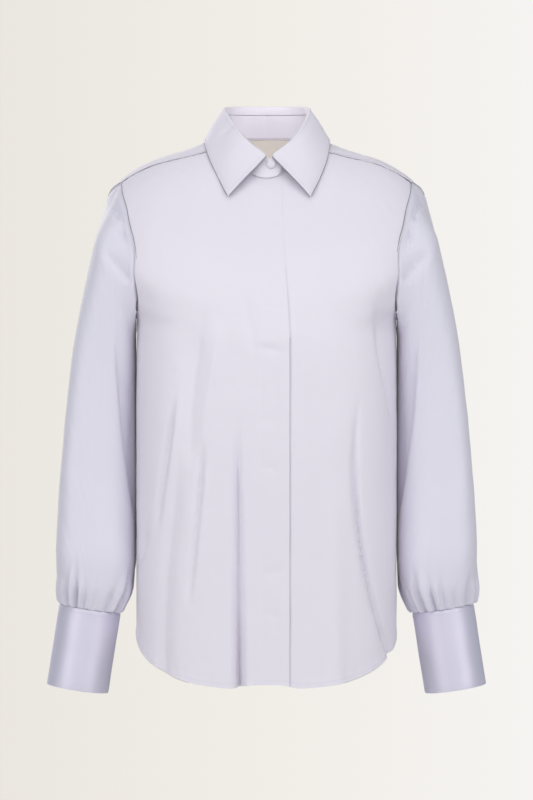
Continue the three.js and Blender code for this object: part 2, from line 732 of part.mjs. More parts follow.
// The stand's angles, from its lapped end over the wearer's right, round the back and under it.
const STAND_TURNS = [
  ...NECK_OVER.map((at) => at.x),
  ...[...NECK_BACK].reverse().slice(1).map((at) => at.x - 2 * Math.PI),
  ...[...NECK_UNDER].reverse().slice(1).map((at) => at.x - 2 * Math.PI),
];
const STAND_LAP = STAND_TURNS[0] - (STAND_TURNS.at(-1) + 2 * Math.PI);
const standLift = (turn) =>
  lapOff(STAND_TURNS[0] - turn, turn - STAND_TURNS.at(-1), 1.1 * STAND_LAP);

function stand() {
  const radius = BODY_RINGS[0].front;
  const corner = STAND_END_RADIUS / radius;
  const turns = [
    STAND_TURNS[0],
    STAND_TURNS[0] - 0.2 * corner,
    STAND_TURNS[0] - 0.55 * corner,
    ...STAND_TURNS.slice(1),
    ...COLLAR_ENDS,
  ].sort((a, b) => b - a);
  const height = standPoint(0, 1, 0).distanceTo(standPoint(0, 0, 0));
  const point = (turn, part) => {
    const fromEnd = clamp((STAND_TURNS[0] - turn) / corner, 0, 1);
    const cut = (STAND_END_RADIUS / height) * (1 - Math.sqrt(1 - (1 - fromEnd) ** 2));
    return standPoint(turn, cut + part * (1 - 2 * cut), standLift(turn));
  };
  return band(turns, 3, point, neckOut, INTERLINED);
}

/** The collar's upper face across its width at an angle: up from the stand, over and down. */
function collarLine(angle) {
  const at = collarPlace(angle);
  const roll = rollPoint(angle);
  roll.y -= standLift(angle);
  const out = neckOut(angle);
  const width = collarAt.rollWidth(at);
  const onRoll = (part, down) =>
    roll.clone().addScaledVector(out, part * width).add(new THREE.Vector3(0, 0, -down));
  const aim = new THREE.Vector3(
    collarAt.edgeX(at),
    collarAt.edgeY(at),
    collarAt.edgeZ(at),
  );
  const seat = nearestPlace(aim.toArray());
  const { point: edge, normal } = skin(bodyForm, seat.x, seat.y, NECK, HEM);
  edge.addScaledVector(normal, collarAt.clearance(at));
  edge.x = sideOf(angle) * edge.x + closureShift(angle);
  const over = [
    onRoll(0, collarAt.rise(at) - 2 * SEAM_GAP),
    onRoll(0.04, 1.7),
    onRoll(0.22, 0.4),
    onRoll(0.55, 0),
    onRoll(0.85, 0.9),
    onRoll(1, 3),
  ];
  const fall = Array.from({ length: COLLAR_ROWS }, (_, i) => {
    const part = (i + 1) / COLLAR_ROWS;
    return over
      .at(-1)
      .clone()
      .lerp(edge, part)
      .addScaledVector(out, 4 * part * (1 - part) * collarAt.bow(at));
  });
  return [...over, ...fall];
}

function collar() {
  const [from, to] = COLLAR_ENDS;
  const between = STAND_TURNS.filter((turn) => turn < from - 0.03 && turn > to + 0.03);
  const turns = [from, ...between, to];
  const lines = turns.map(collarLine);
  const upper = (c, r) => lines[clamp(c, 0, lines.length - 1)][clamp(r, 0, lines[0].length - 1)];
  const rows = lines[0].map((_, r) => {
    const outer = lines.map((line) => line[r]);
    const inner = outer.map((point, c) => {
      const across = upper(c, r + 1).clone().sub(upper(c, r - 1));
      const along = upper(c + 1, r).clone().sub(upper(c - 1, r));
      const normal = along.cross(across).normalize();
      if (r < 2) normal.copy(neckOut(turns[c])).negate();
      return point.clone().addScaledVector(normal, -INTERLINED);
    });
    return rowOf(outer, inner);
  });
  return wall(rows);
}

// ---------- Label, inside the yoke under the neck seam ----------
const LABEL_THICKNESS = 1;
const LABEL_OFF = 0.8; // from the yoke, so that it clears the yoke's facets
const LABEL = { halfWidth: 30, steps: 6, rows: [0.06, 1, 1.35] };
const TAB = { halfWidth: 7, steps: 2, rows: [1.4, 1.75] };

/** A flat piece inside the yoke, on rows counted from the neck: its points come from the yoke's. */
function label(yokeRowList, { halfWidth, steps, rows }) {
  const middle = BACK_COLUMNS / 2;
  const at = (name, row, column) => {
    const [r, c] = [Math.floor(row), Math.floor(column)];
    const corner = (i, j) => yokeRowList[r + i][name][middle + c + j];
    const upper = corner(0, 0).clone().lerp(corner(0, 1), column - c);
    return upper.lerp(corner(1, 0).clone().lerp(corner(1, 1), column - c), row - r);
  };
  return wall(
    rows.map((row) => {
      const spacing = Math.abs(at("inner", row, 1).x - at("inner", row, 0).x);
      const skins = Array.from({ length: steps + 1 }, (_, i) => {
        const column = (halfWidth / spacing) * ((2 * i) / steps - 1);
        const inner = at("inner", row, column);
        const inward = inner.clone().sub(at("outer", row, column)).normalize();
        return [LABEL_OFF, LABEL_OFF + LABEL_THICKNESS].map((depth) =>
          inner.clone().addScaledVector(inward, depth),
        );
      });
      return rowOf(skins.map((pair) => pair[0]), skins.map((pair) => pair[1]));
    }),
  );
}

// ---------- Buttons ----------
/** A covered button, domed, standing on the origin along +Y. */
function buttonGeometry() {
  const profile = [
    [0, 0],
    [BUTTON_RADIUS, 0],
    [BUTTON_RADIUS, BUTTON_HEIGHT * 0.5],
    [BUTTON_RADIUS * 0.86, BUTTON_HEIGHT * 0.85],
    [0, BUTTON_HEIGHT],
  ].map(([radius, height]) => new THREE.Vector2(radius, height));
  return new THREE.LatheGeometry(profile, 16);
}

// ---------- The part ----------
const blouse = new THREE.Group();
blouse.name = "balloon_sleeve_blouse";

function addPiece(name, geometry, colour = COLOURS.satin) {
  const material = new THREE.MeshStandardMaterial({ color: colour, roughness: 0.45, metalness: 0 });
  const mesh = new THREE.Mesh(geometry, material);
  mesh.name = name;
  blouse.add(mesh);
  return mesh;
}

addPiece("front_right", frontRight());
addPiece("front_left", frontLeft());
addPiece("back", back());
const YOKE_ROWS = yokeRows();
addPiece("yoke", wall(YOKE_ROWS));
addPiece("collar_stand", stand());
addPiece("collar", collar());
addPiece("neck_label", label(YOKE_ROWS, LABEL), COLOURS.label);
addPiece("size_tab", label(YOKE_ROWS, TAB), COLOURS.label);

function addButton(name, seat, outward) {
  const button = addPiece(name, buttonGeometry(), COLOURS.button);
  button.position.copy(seat).addScaledVector(outward, SEAM_GAP);
  button.quaternion.setFromUnitVectors(new THREE.Vector3(0, 1, 0), outward);
}

const CLOSURE_ANGLE = Math.asin(CLOSURE_X / BODY_RINGS[0].halfWidth);
const NECK_BUTTON_PART = 0.66; // up the stand
const standUp = standPoint(CLOSURE_ANGLE, 1, 0).sub(standPoint(CLOSURE_ANGLE, 0, 0)).normalize();
const standAlong = standPoint(CLOSURE_ANGLE + 0.1, NECK_BUTTON_PART, 0).sub(
  standPoint(CLOSURE_ANGLE - 0.1, NECK_BUTTON_PART, 0),
);
const standOutward = standAlong.cross(standUp).normalize();
addButton("neck_button", standPoint(CLOSURE_ANGLE, NECK_BUTTON_PART, LAP_STEP), standOutward);

for (const [name, sign, seed] of [["right", -1, 1.3], ["left", 1, 4.1]]) {
  addPiece(`sleeve_${name}`, sleeve(sign, seed));
  addPiece(`cuff_${name}`, cuff(sign));
  const turn = CUFF_OPENING - CUFF_LAP / CUFF_RADIUS / 2;
  CUFF_BUTTONS.forEach((part, i) => {
    const seat = cuffPoint(turn, part, LAP_STEP);
    const outward = cuffOut(turn);
    seat.x *= sign;
    outward.x *= sign;
    addButton(`cuff_${name}_button_${i + 1}`, seat, outward);
  });
}

export default blouse;
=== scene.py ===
"""Balloon sleeve blouse in pale lavender satin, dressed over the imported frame.

Lengths are in millimetres until a mesh is made. The front faces -Y and the wearer's left is +X.
A place on the body is an angle (0 is the front's middle, 90 degrees the wearer's left) and a ring
(0 is the neck seam, 10 the hem).
"""

import math

import bpy
import numpy as np
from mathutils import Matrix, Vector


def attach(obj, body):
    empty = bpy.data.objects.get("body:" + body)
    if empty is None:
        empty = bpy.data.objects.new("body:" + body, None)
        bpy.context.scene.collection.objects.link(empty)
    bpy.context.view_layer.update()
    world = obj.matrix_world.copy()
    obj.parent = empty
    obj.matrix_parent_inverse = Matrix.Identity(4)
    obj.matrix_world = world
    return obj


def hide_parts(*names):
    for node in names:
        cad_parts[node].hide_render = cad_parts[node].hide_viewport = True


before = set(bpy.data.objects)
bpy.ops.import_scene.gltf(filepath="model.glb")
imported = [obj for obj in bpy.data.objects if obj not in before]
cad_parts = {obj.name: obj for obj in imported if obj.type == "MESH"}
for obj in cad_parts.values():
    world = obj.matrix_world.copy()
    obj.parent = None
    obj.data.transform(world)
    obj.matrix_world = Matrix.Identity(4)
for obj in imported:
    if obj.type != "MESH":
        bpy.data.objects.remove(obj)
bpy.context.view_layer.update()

TAU = math.tau

# ---------- Sizes ----------
SATIN = 1.0  # thickness of a single layer
INTERLINED = 1.7  # of the collar, its stand and the cuffs
HALF_GAP = 0.12  # from a seam to the cloth's edge
LAP_STEP = 1.4  # how far each of two lapped, interlined layers leaves their common surface
FRONT_LAP = 0.75  # likewise, for the two fronts
PLACKET_TOP_X = 19.5
PLACKET_HEM_X = 29
PLACKET_WIDTH = 36
UNDERLAP = 38
CLOSURE_X = 3.5
BUTTON_RADIUS = 6
BUTTON_HEIGHT = 3
GATHERS = 19
CUFF_RADIUS = 40.2
CUFF_LAP = 24
CUFF_DEPTH = 105
CUFF_GAP = 0.3  # above it, to the sleeve
HEM_RISE = 5  # of the fronts' hem, at the middle
HEM_RISE_ENDS = 16, 44  # it dies out between these distances from the middle
HEM_WIDTH = 6

ACROSS = 8  # columns for each step that the solids have between two points of a seam
DOWN = 9  # rows, likewise
STEPS = {"shoulder": 7, "frontNeck": 7, "backNeck": 16, "armhole": 9, "yoke": 6, "side": 11}


# ---------- Numbers along a table ----------
def columns_of(names, rows):
    return {name: through([row[i] for row in rows]) for i, name in enumerate(names.split())}


def through(values):
    """A smooth curve through values at 0, 1, 2..., which never swings past them."""
    values = np.array(values, float)
    rise = np.diff(values)
    before, after = np.append(rise[0], rise), np.append(rise, rise[-1])
    turning = before * after <= 0
    slope = np.where(turning, 0, 2 * before * after / np.where(turning, 1, before + after))

    def curve(at):
        at = np.asarray(at, float)
        i = np.clip(np.floor(at).astype(int), 0, len(values) - 2)
        t = at - i
        bend = 3 * rise[i] - 2 * slope[i] - slope[i + 1]
        twist = slope[i] + slope[i + 1] - 2 * rise[i]
        return values[i] + t * slope[i] + t**2 * bend + t**3 * twist

    return curve


def ramp(x, start, end):
    t = np.clip((x - start) / (end - start), 0, 1)
    return t * t * (3 - 2 * t)


def lerp(a, b, t):
    return a + (b - a) * t


def unit(v):
    return v / np.linalg.norm(v, axis=-1, keepdims=True)


def vector(x, y, z):
    return np.stack(np.broadcast_arrays(x, y, z), -1).astype(float)


def lengths(points, axis):
    """How far each point is along its row (axis 1) or column (axis 0)."""
    steps = np.linalg.norm(np.diff(points, axis=axis), axis=-1)
    zero = np.zeros_like(steps.take([0], axis))
    return np.concatenate([zero, np.cumsum(steps, axis)], axis)


# ---------- The body's form ----------
BODY = columns_of(
    "half_width front back frontZ sideZ backZ front_square back_square turn",
    [
        [62, 70, 62, -53, 3, 9, 2.0, 2.0, 2.0],  # neck seam
        [108, 86, 84, -88, -14, -18, 2.1, 2.1, 2.0],
        [150, 99, 98, -124, -27.5, -56, 2.2, 2.2, 2.0],
        [190, 110, 105, -164, -53, -104, 2.3, 2.3, 2.0],
        [209, 114, 108, -190, -80, -138, 2.3, 2.3, 2.0],
        [212, 118, 110, -216, -135, -175, 2.35, 2.35, 2.0],
        [190, 121, 112, -242, -195, -215, 2.45, 2.4, 2.0],
        [168, 123, 113, -268, -242, -256, 2.7, 2.5, 2.0],  # underarm
        [168.6, 122, 112, -380, -360, -372, 2.9, 2.6, 2.0],
        [168.6, 117, 110, -540, -500, -530, 2.9, 2.6, 3.0],
        [168.6, 112, 107, -703.5, -641, -704, 2.8, 2.6, 3.4],  # hem
    ],
)
NECK, UNDERARM, HEM = 0, 7, 10


def body_form(angle, ring):
    s, c = np.sin(angle), np.cos(angle)
    front = c >= 0
    square = np.where(front, BODY["front_square"](ring), BODY["back_square"](ring))
    reach = (abs(s) ** square + abs(c) ** square) ** (-1 / square)
    depth = np.where(front, BODY["front"](ring), BODY["back"](ring))
    middle_z = np.where(front, BODY["frontZ"](ring), BODY["backZ"](ring))
    z = lerp(middle_z, BODY["sideZ"](ring), abs(s) ** BODY["turn"](ring))
    return vector(BODY["half_width"](ring) * reach * s, -depth * reach * c, z)


def form_normal(angle, ring):
    step = 1e-3
    low, high = np.maximum(NECK, ring - step), np.minimum(HEM, ring + step)
    across = body_form(angle + step, ring) - body_form(angle - step, ring)
    down = body_form(angle, high) - body_form(angle, low)
    return unit(np.cross(down, across))


# ---------- Folds ----------
# Each runs through three points, seen from in front or behind: its width, its depth at the middle
# and at the end, how wide its two flanks are beside that width, and how sharp its line is.
def fold_depth(folds, x, z):
    depth = np.zeros(np.broadcast(x, z).shape)
    for x0, z0, x1, z1, x2, z2, width, middle_depth, end_depth, left, right, sharp in folds:
        along = (z - z0) / (z2 - z0)
        turn = (z1 - z0) / (z2 - z0)
        bend = (x1 - x0 - turn * (x2 - x0)) / (turn * (turn - 1))
        middle = x0 + along * (x2 - x0) + bend * along * (along - 1)
        rising = middle_depth * ramp(along, 0, turn)
        falling = lerp(middle_depth, end_depth, ramp(along, turn, 1))
        size = np.where(along < turn, rising, falling) * (1 - ramp(along, 1, 1.25))
        flank = width * np.where(x < middle, left, right)
        depth += size * np.exp(-(abs((x - middle) / flank) ** sharp))
    return depth


def folds_at(facing, in_front, behind, x, z):
    """The depth of folds where a surface faces forward this much; they die out at its sides."""
    depth = np.where(facing > 0, fold_depth(in_front, x, z), fold_depth(behind, x, z))
    return depth * ramp(abs(facing), 0.05, 0.5)


FRONT_FOLDS = [
    [-73, -208, -88, -284, -97, -385, 12, 6.5, 4, 1, 0.75, 1.3],
    [-56, -225, -69, -300, -81, -385, 7, -2.5, -1.5, 0.8, 1.2, 1.6],
    [-79, -375, -84, -444, -95, -560, 3.6, 5.5, 3.5, 1.1, 0.9, 1.7],
    [-72, -385, -77, -444, -88, -560, 6, -2, -1.5, 0.8, 1.2, 2],
    [-115, -325, -124, -388, -136, -470, 3.6, 5.5, 3.5, 1.1, 0.9, 1.7],
    [-108, -300, -117, -388, -129, -480, 6, -2, -2, 0.8, 1.2, 2],
    [-150, -495, -156, -520, -165, -552, 3.4, 4.5, 3.5, 1, 1, 1.6],
    [-101, -360, -121, -493, -132, -680, 12, 5.5, 5, 1, 0.9, 1.5],
    [-37, -345, -36, -460, -35, -706, 3.4, 9, 9, 1.1, 1, 1.8],
    [-36, -430, -35, -560, -34, -706, 6.5, 3.5, 11, 1, 1, 3],
    [-28, -200, -21, -243, -15, -285, 7, 2.8, 0.8, 1, 1, 2],
    [136, -205, 146, -278, 160, -345, 3.4, 8, 5, 0.9, 1.4, 1.6],
    [141, -195, 148, -262, 160, -345, 6, 5, 3, 0.6, 2.4, 2],
    [120, -320, 117, -480, 150, -636, 3.6, 9, 9, 1.3, 0.65, 1.6],
    [84, -420, 86, -540, 88, -700, 14, -3, -5, 1, 1, 2],
]
BACK_FOLDS = [
    [-88, -150, -96, -330, -84, -520, 9, 5, 5, 1.2, 0.7, 1.5],
    [70, -170, 92, -380, 100, -690, 6, 6, 9, 0.7, 1.2, 1.5],
    [62, -330, 80, -470, 92, -600, 4, 4, 3, 1, 1, 1.5],
    [-30, -330, -38, -500, -44, -700, 5, 6, 10, 1.2, 0.7, 1.5],
    [24, -420, 20, -560, 18, -700, 15, -4, -5, 1, 1, 2],
    [-132, -300, -138, -460, -128, -640, 6, 6, 6, 1, 0.7, 1.6],
    [-112, -350, -120, -450, -116, -560, 4, 4, 3, 1, 1, 1.5],
    [140, -290, 146, -420, 140, -560, 6, 5, 5, 0.7, 1.1, 1.6],
]


def body(angle, ring):
    """The body with its folds and its hem's rise in front."""
    point, normal = body_form(angle, ring), form_normal(angle, ring)
    x, z = point[..., 0], point[..., 2]
    depth = folds_at(-normal[..., 1], FRONT_FOLDS, BACK_FOLDS, x, z)
    rise = HEM_RISE * ramp(ring, HEM - 1, HEM) * (1 - ramp(abs(x), *HEM_RISE_ENDS))
    point = raised(point, normal, -depth)
    point[..., 2] += np.where(normal[..., 1] < 0, rise, 0)
    return point


# ---------- Seams on the body ----------
def place(degrees, ring):
    return np.array([math.radians(degrees), ring])


def nearest_place(x, y, z):
    """The place on the form that is nearest to a point on the +X side."""
    target = np.array([x, y, z], float)
    best = np.array([math.pi / 2, HEM / 2])
    reach = np.array([math.pi / 2, HEM / 2])
    while reach[1] > 1e-4:
        angle, ring = np.meshgrid(
            best[0] + np.linspace(-1, 1, 25) * reach[0],
            np.clip(best[1] + np.linspace(-1, 1, 25) * reach[1], NECK, HEM),
        )
        gap = np.linalg.norm(body_form(angle, ring) - target, axis=-1)
        i = np.unravel_index(gap.argmin(), gap.shape)
        best = np.array([angle[i], ring[i]])
        reach = reach / 4
    return best


def spline(points, t):
    """A Catmull-Rom curve through places, at t from 0 to 1."""
    points = np.asarray(points)
    at = np.clip(t, 0, 1) * (len(points) - 1)
    i = np.minimum(at.astype(int), len(points) - 2)
    w = (at - i)[:, None]
    p0, p1 = points[np.maximum(i - 1, 0)], points[i]
    p2, p3 = points[i + 1], points[np.minimum(i + 2, len(points) - 1)]
    v0, v1 = (p2 - p0) / 2, (p3 - p1) / 2
    return (2 * p1 - 2 * p2 + v0 + v1) * w**3 + (3 * (p2 - p1) - 2 * v0 - v1) * w**2 + v0 * w + p1


def seam(points, count):
    """Places evenly spaced, in space, along a curve through a few places."""
    t = np.linspace(0, 1, 401)
    line = body_form(*spline(points, t).T)
    along = lengths(line, 0)
    return spline(points, np.interp(np.linspace(0, along[-1], count + 1), along, t))


ARMHOLE = [
    place(90, UNDERARM),
    nearest_place(165.5, -58, -225),
    nearest_place(164.5, -77, -198),
    nearest_place(167.5, -80, -162),
    nearest_place(173.5, -74, -126),
    nearest_place(181, -57, -90),
    nearest_place(189.5, -22, -55),  # front yoke seam
    nearest_place(202, -2, -66),
    nearest_place(207.5, 15, -80),
    nearest_place(205, 34, -97),
    nearest_place(198, 48, -114),  # back yoke seam
    nearest_place(190, 58, -140),
    nearest_place(182, 62, -170),
    nearest_place(173, 52, -207),
    place(90, UNDERARM),
]
YOKE_FRONT, YOKE_BACK = 6, 10
YOKE_NECK_ANGLE = 60


def mirrored(places):
    return places * [-1, 1]


def turned(places):
    return [TAU, 0] + places * [-1, 1]


armhole_front = seam(ARMHOLE[: YOKE_FRONT + 1], STEPS["armhole"] * DOWN)[::-1]
armhole_yoke = seam(ARMHOLE[YOKE_FRONT : YOKE_BACK + 1], STEPS["yoke"] * DOWN)
armhole_back = seam(ARMHOLE[YOKE_BACK:], STEPS["armhole"] * DOWN)
shoulder = seam(
    [place(YOKE_NECK_ANGLE, NECK), place(69, 1), place(74.5, 2), ARMHOLE[YOKE_FRONT]],
    STEPS["shoulder"] * ACROSS,
)
back_half = [ARMHOLE[YOKE_BACK], nearest_place(150, 78, -106), nearest_place(80, 98, -101)]
back_middle = np.array([math.pi, nearest_place(0, 104, -99)[1]])
yoke_back = seam(
    [*back_half, back_middle, *turned(np.array(back_half[::-1]))],
    (STEPS["backNeck"] + 2 * STEPS["shoulder"]) * ACROSS,
)
side = seam([place(90, ring) for ring in (UNDERARM, 8, 9, HEM)], STEPS["side"] * DOWN)


def ring_line(from_degrees, to_degrees, ring, steps):
    return seam([place(a, ring) for a in np.linspace(from_degrees, to_degrees, 13)], steps * ACROSS)


def placket_x(ring):
    return lerp(PLACKET_TOP_X, PLACKET_HEM_X, ramp(ring, NECK, UNDERARM))


def middle_edge(offset):
    """A front's middle edge, from neck to hem, this far from the placket's edge."""
    upper = UNDERARM * np.linspace(0, 1, STEPS["armhole"] * DOWN + 1) ** 0.7
    rings = np.append(upper, side[1:, 1])
    x = placket_x(rings) + offset
    return np.stack([np.arcsin(x / BODY["half_width"](rings)), rings], -1)


def degrees_at(x, ring):
    return math.degrees(math.asin(x / float(BODY["half_width"](ring))))


neck_over = ring_line(degrees_at(PLACKET_TOP_X, NECK), -YOKE_NECK_ANGLE, NECK, STEPS["frontNeck"])
neck_under = ring_line(
    degrees_at(PLACKET_TOP_X - UNDERLAP, NECK), YOKE_NECK_ANGLE, NECK, STEPS["frontNeck"]
)
neck_back = ring_line(YOKE_NECK_ANGLE, 360 - YOKE_NECK_ANGLE, NECK, STEPS["backNeck"])


# ---------- Grids of points ----------
def grid_normals(points, wrap=False):
    """Unit normals of a grid of points; its columns run round a tube if wrap is set."""
    if wrap:
        across = np.roll(points, -1, 1) - np.roll(points, 1, 1)
    else:
        across = np.gradient(points, axis=1)
    return unit(np.cross(across, np.gradient(points, axis=0)) + 1e-12)


def edge_distances(points):
    """Each point's distance from the first and last row and the first and last column."""
    down, across = lengths(points, 0), lengths(points, 1)
    to_bottom, to_end = down[-1:] - down, across[:, -1:] - across
    return {"top": down, "bottom": to_bottom, "start": across, "end": to_end}


def waves(u, v, scale, seed):
    """Soft uneven swells of about this wavelength, from -1 to 1."""
    total = 0
    for i in range(5):
        turn = seed + 2.4 * i
        size = scale * (0.75 + 0.17 * i)
        phase = TAU * (u * math.cos(turn) + v * math.sin(turn)) / size
        total = total + np.sin(phase + 1.7 * i + 3 * seed)
    return total / 5


def bell(distance, reach):
    return np.exp(-((distance / reach) ** 2))


def raised(points, normals, height):
    return points + normals * np.asarray(height)[..., None]


def pucker(along, distance, seed, height, reach=13, spacing=11):
    """Small waves across a seam, which die out away from it."""
    wave = np.sin(TAU * along / spacing + 1.3 * np.sin(along / 23 + seed) + seed)
    return height * wave * bell(distance, reach)


def ditch(distance, depth=0.9, reach=2.2):
    """The groove at a seam."""
    return -depth * bell(distance, reach)


# ---------- Meshes ----------
def faces_of(index):
    """Faces between the neighbours in a grid of vertex numbers."""
    corners = index[:-1, :-1], index[:-1, 1:], index[1:, 1:], index[1:, :-1]
    return np.stack(corners, -1).reshape(-1, 4)


def wrapped(grid):
    """A grid whose first column follows its last once more, as round a tube."""
    return np.concatenate([grid, grid[:, :1]], 1)


def triangles_of(quads):
    return np.concatenate([quads[:, [0, 1, 2]], quads[:, [0, 2, 3]]])


def facing_out(normals, away):
    """A grid's normals, all turned round if most point against these directions."""
    return normals * np.sign((normals * away).sum())


def add_object(name, data):
    thing = bpy.data.objects.new(name, data)
    bpy.context.scene.collection.objects.link(thing)
    return thing


def make_mesh(name, points, faces, uv=None):
    """A mesh object of the row frame, from points in millimetres and faces of 3 or 4 corners."""
    points = np.asarray(points, float) / 1000
    triangles = triangles_of(faces) if faces.shape[1] == 4 else faces
    a, b, c = (points[triangles[:, i]] for i in range(3))
    if (a * np.cross(b, c)).sum() < 0:
        faces = faces[:, ::-1]  # so that they face outward
    mesh = bpy.data.meshes.new(name)
    mesh.from_pydata(points.tolist(), [], faces.tolist())
    mesh.polygons.foreach_set("use_smooth", np.ones(len(mesh.polygons), bool))
    if uv is not None:
        corners, width = uv[faces] / 1000, np.ptp(uv[:, 0]) / 1000
        across = corners[..., :1]
        # A face that closes a tube would span its whole cloth, so its early corners move on.
        closes = np.ptp(across, axis=1, keepdims=True) > width / 2
        across += closes * (across < width / 2) * width
        mesh.uv_layers.new(name="cut").data.foreach_set("uv", corners.ravel())
    mesh.update()
    return add_object(name, mesh)


def shell(name, outer, inner, wrap=False, cut=None):
    """A thin closed wall between two grids of points; cut is where they lie on the flat cloth."""
    count = outer.shape[0] * outer.shape[1]
    index = np.arange(count).reshape(outer.shape[:2])
    index = wrapped(index) if wrap else index
    strips = [(index[0] + count, index[0]), (index[-1], index[-1] + count)]
    if not wrap:
        strips += [(index[:, 0], index[:, 0] + count), (index[:, -1] + count, index[:, -1])]
    faces = [faces_of(index), faces_of(index + count)[:, ::-1]]
    faces += [faces_of(np.stack(strip, 1)) for strip in strips]
    if cut is None:
        cut = np.stack([lengths(outer, 1), lengths(outer, 0)], -1)
    points = np.concatenate([outer.reshape(-1, 3), inner.reshape(-1, 3)])
    piece = make_mesh(name, points, np.concatenate(faces), np.tile(cut.reshape(-1, 2), (2, 1)))
    piece.data.set_sharp_from_angle(angle=math.radians(50))
    return piece


def drawn_back(points, first=True, last=True, sides=True):
    """A grid with its edges drawn back from the seams by half their gap."""
    result = points.copy()

    def back(edge, beside):
        return edge + unit(beside - edge) * HALF_GAP

    if sides:
        result[:, 0] = back(points[:, 0], points[:, 1])
        result[:, -1] = back(points[:, -1], points[:, -2])
    if first:
        result[0] = back(points[0], points[1])
    if last:
        result[-1] = back(points[-1], points[-2])
    return result


def line_inside(points, normals, edge, distance, clear):
    """The line on a grid at this distance from an edge, clear of its ends, with its normals."""
    if edge in ("start", "end"):
        points, normals = points.swapaxes(0, 1), normals.swapaxes(0, 1)
    if edge in ("bottom", "end"):
        points, normals = points[::-1], normals[::-1]
    along = lengths(points, 0)
    line = []
    for c in range(points.shape[1]):
        row = np.interp(distance, along[:, c], np.arange(len(points)))
        i = min(int(row), len(points) - 2)
        line.append([lerp(grid[i, c], grid[i + 1, c], row - i) for grid in (points, normals)])
    line = np.array(line)
    run = lengths(line[:, 0], 0)
    kept = (run >= clear[0]) & (run <= run[-1] - clear[1])
    return line[kept, 0], unit(line[kept, 1])


STITCH_LENGTH = 2.3
STITCH_SPACING = 3.1
STITCH_RADIUS = 0.27
TOPSTITCH_LIFT = 0.12
STITCH_CORNERS = 10  # its start, two rings of four round it, and its end
STITCH_FACES = []
for i in range(1, 5):
    j, end = i % 4 + 1, STITCH_CORNERS - 1
    STITCH_FACES += [[0, i, j, j], [end, j + 4, i + 4, i + 4], [i, i + 4, j + 4, j]]


class Stitching:
    """Rows of topstitches, gathered into one piece."""

    def __init__(self):
        self.points = []

    def sew(self, line, normals, lift=TOPSTITCH_LIFT, spacing=STITCH_SPACING, radius=STITCH_RADIUS):
        along = lengths(line, 0)
        starts = np.arange(spacing / 2, along[-1] - STITCH_LENGTH, spacing)

        def at(distance, values):
            return np.stack([np.interp(distance, along, values[:, i]) for i in range(3)], -1)

        a, b = at(starts, line), at(starts + STITCH_LENGTH, line)
        up = unit(at(starts, normals))
        way = unit(b - a)
        beside = np.cross(way, up) * radius
        a, b = a + up * lift * 0.3, b + up * lift * 0.3
        ring = []
        for share in (0.22, 0.78):
            centre = lerp(a, b, share) + up * (lift + radius * 0.4)
            ring += [centre + beside, centre + up * radius, centre - beside, centre - up * radius]
        self.points.append(np.stack([a, *ring, b], 1).reshape(-1, 3))  # STITCH_CORNERS each

    def sew_inside(self, points, normals, edge, distance, clear=0, clear_end=None):
        """Sews along an edge of a grid, at this distance from it and clear of its ends."""
        ends = (clear, clear if clear_end is None else clear_end)
        self.sew(*line_inside(points, normals, edge, distance, ends))

    def make(self, name):
        points = np.concatenate(self.points)
        first = np.arange(0, len(points), STITCH_CORNERS)[:, None, None]
        triangles = triangles_of((STITCH_FACES + first).reshape(-1, 4))
        keep = (triangles[:, 0] != triangles[:, 2]) & (triangles[:, 1] != triangles[:, 2])
        return make_mesh(name, points, triangles[keep])


body_stitches, collar_stitches = Stitching(), Stitching()
cuff_stitches, label_stitches = Stitching(), Stitching()
# Dark thread laid along seams and free edges: painted shade for the thin shadow lines there.
painted_shade_lines = Stitching()
SHADE_LINE_RADIUS = 0.42
SHADE_LINE_SPACING = 1.2  # less than a stitch's length, so a painted shade line shows unbroken
EDGE_LIFT = -0.4  # a painted shade line along a free edge lies sunk in it


def draw_painted_shade_line(line, normals, kept=slice(None), lift=0.2, radius=SHADE_LINE_RADIUS):
    """Dark thread along part of a line: painted shade for the shadow in a seam or under a cloth's
    edge.
    """
    painted_shade_lines.sew(line[kept], normals[kept], lift, SHADE_LINE_SPACING, radius)


# ---------- Panels of the body ----------
def panel(top, bottom, start, end, lift=None):
    """The outer points of a panel between four lines of places on the body."""
    u = np.linspace(0, 1, len(top))[None, :, None]
    v = np.linspace(0, 1, len(start))[:, None, None]
    top_bow = top - lerp(top[0], top[-1], u[0])
    bottom_bow = bottom - lerp(bottom[0], bottom[-1], u[0])
    at = lerp(start[:, None], end[:, None], u) + top_bow * (1 - v) ** 3 + bottom_bow * v**2
    points = body(at[..., 0], at[..., 1])
    if lift:
        points[..., 1] -= lift(points[..., 0], at[..., 1])
    return points


def finish_panel(points, seams, seed, hem=True):
    """Adds swells, seam grooves, puckers and a hem to a panel's outer points."""
    edge = edge_distances(points)
    along, down = edge["start"], edge["top"]
    height = 0.45 * waves(along, down * 0.55, 62, seed) + 0.22 * waves(along, down, 27, seed + 1)
    for name, share in seams.items():
        run = down if name in ("start", "end") else along
        height += (ditch(edge[name]) + pucker(run, edge[name], seed, 0.1)) * share
    if hem:
        folded = 0.5 * (1 - ramp(edge["bottom"], HEM_WIDTH - 0.8, HEM_WIDTH + 0.8))
        height += folded + pucker(along, edge["bottom"] - HEM_WIDTH, seed + 2, 0.22, 9, 14)
    return raised(points, normals_out(points), height)


def normals_out(points):
    """A panel's unit normals, away from the blouse's middle line."""
    return facing_out(grid_normals(points), points * [1, 1, 0])


GRAIN_RADIUS = 150  # of the round that a panel's cloth is measured on


def on_grain(points):
    """Where a panel's points lie on its cloth, whose threads run down it."""
    turn = np.unwrap(np.arctan2(points[..., 0], -points[..., 1]), axis=1)
    return np.stack([turn * GRAIN_RADIUS, -points[..., 2]], -1)


def drape(node, points, size, last=False):
    """A panel of the body, as a thin shell inside its outer points."""
    points = drawn_back(points, last=last)
    inner = points - normals_out(points) * SATIN
    return cloth(node, points, inner, size, "draped", cut=on_grain(points))


